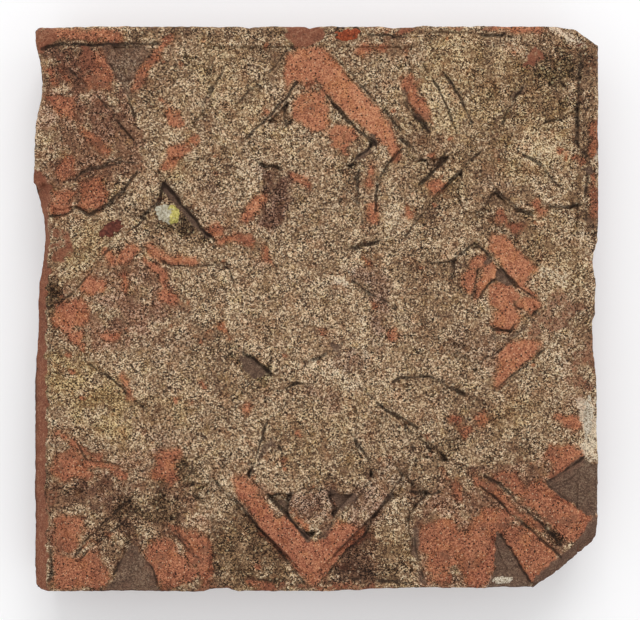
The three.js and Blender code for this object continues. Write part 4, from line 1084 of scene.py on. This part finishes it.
def body_outline():
    """Corners of the back of the CAD body, counter-clockwise from the south-west."""
    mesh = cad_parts["tile_body"].data
    low = {(round(v.co.x / MM, 3), round(v.co.y / MM, 3)) for v in mesh.vertices if v.co.z < 1e-5}
    ring = sorted(low, key=lambda p: math.atan2(p[1], p[0]))
    start = min(range(len(ring)), key=lambda i: ring[i][0] + ring[i][1])
    return ring[start:] + ring[:start]


def resampled(line, count):
    """A line cut into that many equal steps."""
    line = np.array(line)
    steps = np.r_[0, np.cumsum(np.linalg.norm(np.diff(line, axis=0), axis=1))]
    at = np.linspace(0, steps[-1], count + 1)
    return np.stack([np.interp(at, steps, line[:, 0]), np.interp(at, steps, line[:, 1])], 1)


def closest(ring, x, y):
    """The number of the ring's point nearest to a place."""
    return min(range(len(ring)), key=lambda i: math.hypot(ring[i][0] - x, ring[i][1] - y))


CELLS = 248  # across the top of the body
SIDE_ROWS = 20
SIDE_TAPER = 0.5  # how far the foot of a side leans in
FOOT_ROUND = 0.9  # how far the foot rounds in, squared
FOOT_START = 0.88  # share of the way down at which that starts
SOUTH_EAST, NORTH_EAST, NORTH_WEST = (65.8, -69.7), (70.2, 71), (-76, 76)  # corners of the body's grid


def coons(south, east, north, west, cells):
    """A grid of points between four boundary lines."""
    u = np.linspace(0, 1, cells + 1)[None, :, None]
    v = np.linspace(0, 1, cells + 1)[:, None, None]
    across = (1 - v) * south[None] + v * north[None]
    along = (1 - u) * west[:, None] + u * east[:, None]
    corners = (1 - u) * (1 - v) * south[0] + u * (1 - v) * south[-1]
    corners = corners + (1 - u) * v * north[0] + u * v * north[-1]
    return across + along - corners


def grid_border(n):
    """Indices round the edge of a square grid of n by n cells, counter-clockwise."""
    side = np.arange(n)
    rows = np.concatenate([0 * side, side, 0 * side + n, n - side])
    columns = np.concatenate([side, 0 * side + n, n - side, 0 * side])
    return rows * (n + 1) + columns


def make_body():
    """The worn slab: its top under the crust, its sides and its back."""
    ring = body_outline()
    corners = (SOUTH_EAST, NORTH_EAST, NORTH_WEST)
    south_east, north_east, north_west = (closest(ring, *corner) for corner in corners)
    lines = [
        ring[: south_east + 1],
        ring[south_east : north_east + 1],
        ring[north_east : north_west + 1][::-1],
        (ring[north_west:] + ring[:1])[::-1],
    ]
    south, east, north, west = [resampled(line, CELLS) for line in lines]
    plan = coons(south, east, north, west, CELLS).reshape(-1, 2)
    plan = np.clip(plan, -SIDE, SIDE)
    plan = worn_outline(np.c_[plan, np.zeros(len(plan))])[:, :2]

    x, y = plan[:, 0], plan[:, 1]
    ground = sample(ground_field, x, y) - CRUST_DEPTH * sample(crusted, x, y)
    pocket = sample(pocketed, x, y) > 0.5
    height = np.where(pocket, POCKET_FLOOR, ground)
    edge = grid_border(CELLS)
    count = len(edge)
    points = [np.c_[plan, height]]
    faces = []
    n = CELLS + 1
    for row in range(CELLS):
        base = row * n
        faces += [(base + i, base + i + 1, base + n + i + 1, base + n + i) for i in range(CELLS)]

    # Sides, from the edge of the top down to the back
    rim = plan[edge]
    ahead = np.roll(rim, -1, 0) - np.roll(rim, 1, 0)
    outward = np.c_[ahead[:, 1], -ahead[:, 0]]
    outward /= np.linalg.norm(outward, axis=1)[:, None].clip(1e-6)
    outward = (outward + np.roll(outward, 1, 0) + np.roll(outward, -1, 0)) / 3
    previous = edge
    start = len(plan)
    top_height = height[edge]
    for row in range(1, SIDE_ROWS + 1):
        part = row / SIDE_ROWS
        level = top_height * (1 - part)
        spot = np.c_[rim, level]
        rough_side = 0.30 * np.abs(fractal(spot, 4.2, 151, 4)) + 0.10 * np.abs(value_noise(spot, 1.0, 155))
        rounding = FOOT_ROUND * max(0, part - FOOT_START) / (1 - FOOT_START)
        fade = min(1.0, row / 2)
        inward = (rough_side + SIDE_TAPER * part) * fade + rounding**2
        points.append(np.c_[rim - outward * inward[:, None], level])
        current = np.arange(start, start + count)
        for i in range(count):
            j = (i + 1) % count
            faces.append((previous[i], current[i], current[j], previous[j]))
        previous = current
        start += count

    # Back: a grid of half the cells, joined to the sides
    half = CELLS // 2
    foot = points[-1][::2, :2]
    lines = [foot[i * half : (i + 1) * half + 1] for i in range(4)]
    lines[3] = np.vstack([lines[3], foot[:1]])
    back = coons(lines[0], lines[1], lines[2][::-1], lines[3][::-1], half).reshape(-1, 2)
    back_edge = grid_border(half)
    inner = np.setdiff1d(np.arange(len(back)), back_edge)
    spot = np.c_[back, np.zeros(len(back))]
    lift = 0.22 * np.abs(fractal(spot, 6, 161, 4)) + 0.12 * np.abs(value_noise(spot, 1.4, 165))
    index = np.full(len(back), -1)
    index[inner] = start + np.arange(len(inner))
    index[back_edge] = previous[::2]
    points.append(np.c_[back, lift][inner])
    odd = {}
    for i in range(len(back_edge)):
        a, b = back_edge[i], back_edge[(i + 1) % len(back_edge)]
        odd[(a, b)] = previous[2 * i + 1]
    m = half + 1
    for row in range(half):
        for column in range(half):
            first = row * m + column
            loop = [first, first + m, first + m + 1, first + 1]
            face = []
            for k in range(4):
                a, b = loop[k], loop[(k + 1) % 4]
                face.append(int(index[a]))
                middle = odd.get((a, b), odd.get((b, a)))
                if middle is not None:
                    face.append(int(middle))
            faces.append(tuple(face))

    points = np.vstack(points)
    mesh = bpy.data.meshes.new("worn_tile_body")
    mesh.from_pydata([tuple(p) for p in points * MM], [], [tuple(int(i) for i in f) for f in faces])
    mesh.validate()
    flank = np.ones(len(points))
    flank[: len(plan)] = 0
    flank[edge] = 0.6
    paint(mesh, points, flank)
    finish_piece(added("worn_tile_body", mesh), "tile_body", "body_clay")


# Materials


class Shader:
    """Short calls for making a node material."""

    def __init__(self, name):
        self.material = bpy.data.materials.new(name)
        self.material.use_nodes = True
        self.tree = self.material.node_tree
        self.tree.nodes.clear()

    def node(self, kind, settings=None, **sockets):
        made = self.tree.nodes.new(kind)
        for key, value in (settings or {}).items():
            setattr(made, key, value)
        for key, value in sockets.items():
            self.plug(made.inputs[key.replace("_", " ")], value)
        return made

    def plug(self, socket, value):
        if isinstance(value, bpy.types.NodeSocket):
            self.tree.links.new(value, socket)
        else:
            socket.default_value = value

    def millimetres(self):
        """The place on the piece."""
        place = self.node("ShaderNodeTexCoord").outputs["Object"]
        scaled = self.node("ShaderNodeVectorMath", {"operation": "SCALE"}, Vector=place, Scale=1 / MM)
        return scaled.outputs[0]

    def math(self, operation, a, b=0.0, c=0.0):
        made = self.node("ShaderNodeMath", {"operation": operation})
        for socket, value in zip(made.inputs, (a, b, c)):
            self.plug(socket, value)
        return made.outputs[0]

    def times(self, a, b):
        return self.math("MULTIPLY", a, b)

    def total(self, value, *others):
        for term in others:
            value = self.math("ADD", value, term)
        return value

    def about(self, value, reach):
        """A value of 0 to 1 made to swing by that much round 0."""
        return self.math("MULTIPLY_ADD", value, reach, -reach / 2)

    def ramp(self, value, low, high):
        """0 at low, 1 at high and a smooth step between."""
        made = self.node("ShaderNodeMapRange", {"interpolation_type": "SMOOTHSTEP"})
        for socket, given in zip(made.inputs, (value, low, high)):
            self.plug(socket, given)
        return made.outputs[0]

    def mix(self, factor, a, b, blend="MIX"):
        made = self.node("ShaderNodeMix", {"data_type": "RGBA", "blend_type": blend})
        for index, value in ((0, factor), (6, a), (7, b)):
            self.plug(made.inputs[index], value)
        return made.outputs[2]

    def coat(self, under, share, strength, colour, blend="MIX"):
        """Lays a colour over another, at that strength where share is 1."""
        return self.mix(self.times(share, strength), under, linear(*colour), blend)

    def tint(self, under, share, strength, colour):
        return self.coat(under, share, strength, colour, "MULTIPLY")

    def colours(self, value, *stops):
        """Colours along a value. Each stop is its place, red, green and blue."""
        made = self.node("ShaderNodeValToRGB")
        ramp = made.color_ramp
        while len(ramp.elements) < len(stops):
            ramp.elements.new(0.5)
        for element, (place, *colour) in zip(ramp.elements, stops):
            element.position = place
            element.color = linear(*colour)
        self.plug(made.inputs[0], value)
        return made.outputs[0]

    def noise(self, place, size, detail, roughness):
        sockets = {"Vector": place, "Scale": 1 / size, "Detail": detail, "Roughness": roughness}
        return self.node("ShaderNodeTexNoise", None, **sockets).outputs["Fac"]

    def channels(self, colour):
        return self.node("ShaderNodeSeparateColor", None, Color=colour).outputs

    def cells(self, place, size, dimensions="3D"):
        """Distance to the nearest of scattered points, and three random values that it has."""
        settings = {"voronoi_dimensions": dimensions}
        made = self.node("ShaderNodeTexVoronoi", settings, Vector=place, Scale=1 / size)
        return made.outputs["Distance"], self.channels(made.outputs["Color"])

    def finished(self, colour, roughness, specular, lift, strength, depth):
        """The material: that colour, with bumps of that height in millimetres where lift is 1."""
        bump = self.node("ShaderNodeBump", None, Height=lift, Strength=strength, Distance=depth * MM)
        shader = self.node("ShaderNodeBsdfPrincipled", None, Base_Color=colour, Roughness=roughness)
        shader.inputs["Specular IOR Level"].default_value = specular
        self.plug(shader.inputs["Normal"], bump.outputs[0])
        self.node("ShaderNodeOutputMaterial", None, Surface=shader.outputs[0])
        return self.material


def linear(red, green, blue):
    """An sRGB colour of 0 to 255 as the shader's linear one."""
    def one(value):
        value /= 255
        return value / 12.92 if value <= 0.04045 else ((value + 0.055) / 1.055) ** 2.4

    return (one(red), one(green), one(blue), 1.0)


def clay_material(name, warmth, blush, stain):
    """Worn clay: orange where bare, under a speckled crust elsewhere, red-brown on the flanks."""
    s = Shader(name)
    times, total, about = s.times, s.total, s.about
    place = s.millimetres()

    def painted(attribute):
        return s.channels(s.node("ShaderNodeAttribute", {"attribute_name": attribute}).outputs["Color"])[:3]

    def random(cell, channel):
        return s.cells(place, cell)[1][channel]

    def dots(cell, reach, channel):
        """Round dots of random sizes up to that share of a cell."""
        distance, values = s.cells(place, cell, "2D")
        return s.math("LESS_THAN", distance, times(values[channel], reach))

    # The cover's dirt channel holds dirt with painted shade, its light channel pale crust with painted
    # highlights; the dark spots hold dark crust with some painted shade
    bare, dirt_and_shade, light = painted("cover")
    red, purple, olive = painted("tint")
    lichen, brown, dark_and_shade = painted("spots")
    deep, crusted, raised = painted("depth")
    flank = s.node("ShaderNodeAttribute", {"attribute_name": "flank"}).outputs["Fac"]

    tiny = random(0.19, 1)
    speck = random(0.31, 0)
    second = random(0.5, 1)
    coarse = random(1.0, 2)
    sharp = s.noise(place, 0.31, 1.5, 0.6)
    fine = s.noise(place, 0.62, 3, 0.6)
    middle = s.noise(place, 2.4, 3, 0.6)
    broad = s.noise(place, 11, 3, 0.55)
    hue = s.noise(place, 3.5, 4, 0.7)

    # Crust: sandy grains from near black to cream
    salt = total(about(speck, 1.0), about(tiny, 0.5), about(sharp, 0.42))
    calm = s.ramp(s.noise(place, 4.5, 4, 0.65), 0.34, 0.66)
    contrast = total(about(calm, 0.7), times(lichen, 0.3), times(red, -0.2), 1.0)
    contrast = total(contrast, times(dark_and_shade, -0.35), times(light, 0.4))
    value = times(salt, contrast)
    value = total(value, about(coarse, 0.03), about(fine, 0.26), about(middle, 0.38), about(broad, 0.26))
    value = total(value, times(raised, 0.05), times(olive, 0.07), -0.01)
    # The light channel lightens the crust with pale crust and painted highlights; the dark zones darken it,
    # partly as painted shade
    value = total(value, s.math("MULTIPLY_ADD", light, 0.28, 0.53), times(dark_and_shade, -0.30), times(lichen, -0.17))
    crust = s.colours(
        value,
        (0.0, 30, 22, 18), (0.2, 81, 60, 46), (0.42, 127, 98, 74),
        (0.6, 154, 123, 93), (0.8, 190, 158, 121), (1.0, 240, 218, 184),
    )
    mottle = s.ramp(s.noise(place, 3.2, 5, 0.7), 0.5, 0.66)
    crust = s.coat(crust, mottle, 0.42, (116, 88, 70))
    crust = s.coat(crust, dots(1.5, 0.22, 0), 0.75, (38, 28, 22))
    crust = s.coat(crust, dots(1.9, 0.17, 1), 0.5, (222, 202, 166))
    crust = s.tint(crust, s.ramp(hue, 0.50, 0.68), 0.55, (226, 190, 172))
    crust = s.tint(crust, s.ramp(hue, 0.46, 0.32), 0.4, (236, 222, 168))
    crust = s.tint(crust, olive, 0.7, (232, 226, 184))
    crust = s.tint(crust, purple, 0.9, (204, 184, 194))
    halo = s.ramp(total(bare, about(middle, 0.3)), 0.05, 0.5)
    crust = s.tint(crust, halo, 0.8, (236, 208, 196))
    pale_grain = s.ramp(total(light, times(speck, 0.5), about(sharp, 0.9)), 0.8, 1.2)
    crust = s.coat(crust, pale_grain, 0.5, (230, 215, 190))
    red_grain = s.ramp(total(red, times(middle, 0.7), about(fine, 0.5)), 0.45, 1.25)
    crust = s.tint(crust, red_grain, 0.9, (236, 216, 218))
    lichen_grain = s.ramp(total(lichen, about(fine, 0.9)), 0.3, 1.2)
    crust = s.tint(crust, lichen_grain, 0.7, (196, 206, 180))

    # Bare clay: dull orange with small holes and pale grains
    tone = total(about(speck, 0.62), about(second, 0.20), about(sharp, 1.2), about(fine, 0.5))
    # The dark zones, partly painted shade, darken the bare clay, and pale crust with painted highlights
    # lightens it
    tone = total(tone, about(middle, 0.6), times(dark_and_shade, -0.22), times(light, 0.2), 0.5 + warmth)
    clay = s.colours(
        tone,
        (0.0, 72, 42, 32), (0.25, 124, 75, 54), (0.5, 160, 100, 74),
        (0.75, 184, 121, 88), (1.0, 206, 148, 110),
    )
    clay = s.tint(clay, s.ramp(hue, 0.52, 0.38), 0.7, (246, 242, 224))
    clay = s.tint(clay, red, blush, (238, 226, 232))
    stained = s.ramp(total(s.noise(place, 4.2, 4, 0.65), about(fine, 0.2)), 0.5, 0.66)
    clay = s.coat(clay, stained, stain, (114, 77, 59))
    hole = dots(1.25, 0.21, 0)
    clay = s.coat(clay, hole, 0.92, (38, 26, 21))
    clay = s.coat(clay, dots(1.5, 0.12, 1), 0.6, (226, 196, 160))

    # The line between crust and clay is broken at the size of the grains
    edge = total(bare, about(fine, 0.42), about(speck, 0.26), about(sharp, 0.5))
    bare_share = s.ramp(edge, 0.36, 0.65)
    surface = s.mix(bare_share, crust, clay)

    # Brown clay of the bevel, the breaks and the flanks
    side_value = total(about(middle, 0.5), about(broad, 0.4), about(fine, 0.5), about(speck, 0.22))
    side_value = total(side_value, about(sharp, 0.5), 0.5)
    side_clay = s.colours(
        side_value,
        (0.05, 70, 42, 34), (0.35, 118, 70, 53), (0.6, 140, 86, 64), (0.9, 170, 128, 100),
    )
    # The steep flanks are painted darker still, as painted shade on the sides
    side_clay = s.tint(side_clay, flank, 0.5, (150, 130, 120))
    brown_edge = s.ramp(total(brown, about(fine, 0.6), about(speck, 0.3)), 0.3, 0.75)
    surface = s.mix(times(brown_edge, 0.92), surface, side_clay)
    on_flank = s.ramp(flank, 0.25, 0.75)
    surface = s.mix(on_flank, surface, side_clay)

    # Smooth dark clay in the hollows, but not down the flanks
    hollow_value = total(about(speck, 0.35), about(sharp, 0.8), about(fine, 0.5), about(middle, 0.4), 0.5)
    hollow_clay = s.colours(
        hollow_value,
        (0.0, 52, 39, 32), (0.4, 94, 72, 60), (0.7, 116, 92, 76), (1.0, 164, 140, 114),
    )
    hollow = s.ramp(total(deep, about(fine, 0.3)), 0.25, 0.7)
    hollow = times(hollow, s.math("MULTIPLY_ADD", on_flank, -0.9, 0.9))
    surface = s.mix(hollow, surface, hollow_clay)

    # Dirt and painted shade in the cracks, seams and hollows
    cracks = s.ramp(total(dirt_and_shade, about(fine, 0.3), about(speck, 0.2)), 0.26, 0.76)
    surface = s.coat(surface, cracks, 0.78, (38, 29, 24))

    # Grain in the surface
    lift = total(times(sharp, 0.5), times(fine, 0.4), times(speck, 0.2))
    lift = times(lift, s.math("MULTIPLY_ADD", crusted, 0.65, 0.35))
    lift = s.math("SUBTRACT", lift, times(times(hole, bare_share), 0.3))
    return s.finished(surface, 0.92, 0.18, lift, 0.8, 0.4)


def stone_material(name, stops, size, roughness=0.9, beyond=None, speckle=0.3):
    """A mottled stone, lime or mortar. beyond is a place along X and the stops used beyond it."""
    s = Shader(name)
    place = s.millimetres()
    speck = s.cells(place, size * 0.6)[1][0]
    mottle = s.times(s.noise(place, size, 4, 0.6), 1.3)
    value = s.total(mottle, s.math("MULTIPLY_ADD", speck, speckle, -0.15 - speckle / 2))
    colour = s.colours(value, *stops)
    if beyond:
        at, other = beyond
        x = s.node("ShaderNodeSeparateXYZ", None, Vector=place).outputs[0]
        x = s.total(x, s.about(s.noise(place, 1.0, 3, 0.7), 9.0))
        colour = s.mix(s.ramp(x, at - 0.6, at + 0.6), colour, s.colours(value, *other))
    return s.finished(colour, roughness, 0.2, value, 0.7, 0.3)


# Warmth, blush and stain
CLAYS = {
    "body_clay": (0.0, 0.9, 0.3),
    "rim_clay": (-0.03, 0.9, 0.3),
    "frame_clay": (0.14, 0.9, 0.15),
    "trefoil_clay": (0.11, 0.9, 0.25),
    "leaf_clay": (0.0, 0.3, 0.6),
    "crusted_clay": (0.0, 0.9, 0.3),
}
STONES = {
    "brown_stone": {
        "stops": [(0.2, 58, 30, 24), (0.5, 92, 48, 38), (0.8, 128, 74, 56)],
        "size": 0.9,
        "roughness": 0.8,
    },
    "red_grog": {
        "stops": [(0.15, 66, 34, 24), (0.5, 142, 66, 40), (0.9, 196, 106, 66)],
        "size": 0.6,
        "roughness": 0.85,
    },
    "lime": {
        "stops": [(0.15, 112, 104, 86), (0.45, 172, 162, 138), (0.85, 228, 222, 204)],
        "size": 0.6,
        "beyond": (-39.0, [(0.15, 112, 102, 58), (0.45, 178, 166, 88), (0.85, 230, 218, 134)]),
    },
    "old_mortar": {
        "stops": [(0.05, 104, 86, 68), (0.35, 174, 156, 132), (0.8, 230, 218, 198)],
        "size": 0.4,
        "speckle": 0.8,
    },
}
materials = {slot: clay_material(slot, *looks) for slot, looks in CLAYS.items()}
materials.update({slot: stone_material(slot, **looks) for slot, looks in STONES.items()})

CRUMB_VOXEL = 0.16
CRUMB_SIDE = HALF - 0.1
RED_SHIFT = 0.5  # the red pebble lies this much further north than its node


def wear_crumb(name):
    """A pebble or a residue: a rough lump that sits on the worn surface."""
    slot, spread_x, spread_y, height, roughness, above = CRUMBS[name]
    piece = remeshed(name, CRUMB_VOXEL)
    mesh = piece.data
    points, edges = mesh_arrays(mesh)
    points = relaxed(points, edges, 2)
    set_points(mesh, points)
    normals = normals_of(mesh)
    low, high = points.min(0), points.max(0)
    middle = (low + high) / 2
    points[:, :2] = middle[:2] + (points[:, :2] - middle[:2]) * (spread_x, spread_y)
    points[:, 2] = low[2] + (points[:, 2] - low[2]) * height
    if name == "pebble_red":
        points[:, 1] += RED_SHIFT
    rugged = roughness * fractal(points, 1.5, 171, 3) + 0.10 * value_noise(points, 0.35, 175)
    points[:, :2] += normals[:, :2] * rugged[:, None]
    points[:, 2] += normals[:, 2] * rugged * 0.5
    top = points[:, 2].max()
    points[:, 2] += sample(blur(face, 0.6), points[:, 0], points[:, 1]) + above - top
    points[:, :2] = np.clip(points[:, :2], -CRUMB_SIDE, CRUMB_SIDE)
    points = worn_outline(points)
    points[:, 2] = np.minimum(points[:, 2], HIGHEST)
    set_points(mesh, points)
    finish_piece(piece, name, slot)


make_body()
for quarter, side_x, side_y in (("ne", 1, 1), ("se", 1, -1), ("sw", -1, -1), ("nw", -1, 1)):
    make_crust("crust_" + quarter, side_x, side_y)
for node_name in FIGURES:
    wear_figure(node_name)
for node_name in CRUMBS:
    wear_crumb(node_name)

# Floor, light and camera, in metres

FLOOR_HALF = 1.5
PAPER_GLOW = 0.12  # how much whiter the camera sees the paper
WORLD_LIGHT = 0.76
LAMP_PLACE = (0.1, 1.15, 1.0)
LAMP_SIZE = 0.9
LAMP_POWER = 9.5
LENS = 80.0
SENSOR = 36.0
VIEW_WIDTH = 0.17184
VIEW_LEVEL = 0.022  # height at which that width is seen
VIEW_X, VIEW_Y = 0.00113, -0.0003  # the middle of the view

f = FLOOR_HALF
floor_mesh = bpy.data.meshes.new("floor")
floor_mesh.from_pydata([(-f, -f, 0), (f, -f, 0), (f, f, 0), (-f, f, 0)], [], [(0, 1, 2, 3)])
floor = added("floor", floor_mesh)
paper = Shader("floor_paper")
paper_shader = paper.node("ShaderNodeBsdfPrincipled", None, Base_Color=linear(244, 244, 245), Roughness=0.9)
paper_shader.inputs["Specular IOR Level"].default_value = 0.1
rays = paper.node("ShaderNodeLightPath").outputs
seen = paper.math("MAXIMUM", rays["Is Camera Ray"], rays["Is Glossy Ray"])
seen = paper.math("MAXIMUM", seen, rays["Is Transmission Ray"])
glow = paper.node("ShaderNodeEmission", None, Strength=paper.times(seen, PAPER_GLOW))
both = paper.tree.nodes.new("ShaderNodeAddShader")
paper.plug(both.inputs[0], paper_shader.outputs[0])
paper.plug(both.inputs[1], glow.outputs[0])
paper.node("ShaderNodeOutputMaterial", None, Surface=both.outputs[0])
floor_mesh.materials.append(paper.material)

world = bpy.data.worlds.new("studio")
bpy.context.scene.world = world
world.use_nodes = True
background = world.node_tree.nodes["Background"]
background.inputs[0].default_value = (1.0, 1.0, 1.0, 1.0)
background.inputs[1].default_value = WORLD_LIGHT

lamp = bpy.data.lights.new("key_light", "AREA")
lamp.shape = "SQUARE"
lamp.size = LAMP_SIZE
lamp.energy = LAMP_POWER
key_light = added("key_light", lamp)
key_light.location = LAMP_PLACE
key_light.rotation_euler = (-key_light.location).to_track_quat("-Z", "Y").to_euler()

lens_data = bpy.data.cameras.new("camera")
lens_data.lens = LENS
lens_data.sensor_width = SENSOR
lens_data.sensor_fit = "HORIZONTAL"
camera = added("camera", lens_data)
camera.location = (VIEW_X, VIEW_Y, VIEW_LEVEL + VIEW_WIDTH * LENS / SENSOR)
bpy.context.scene.camera = camera
bpy.context.scene.view_settings.view_transform = "Standard"
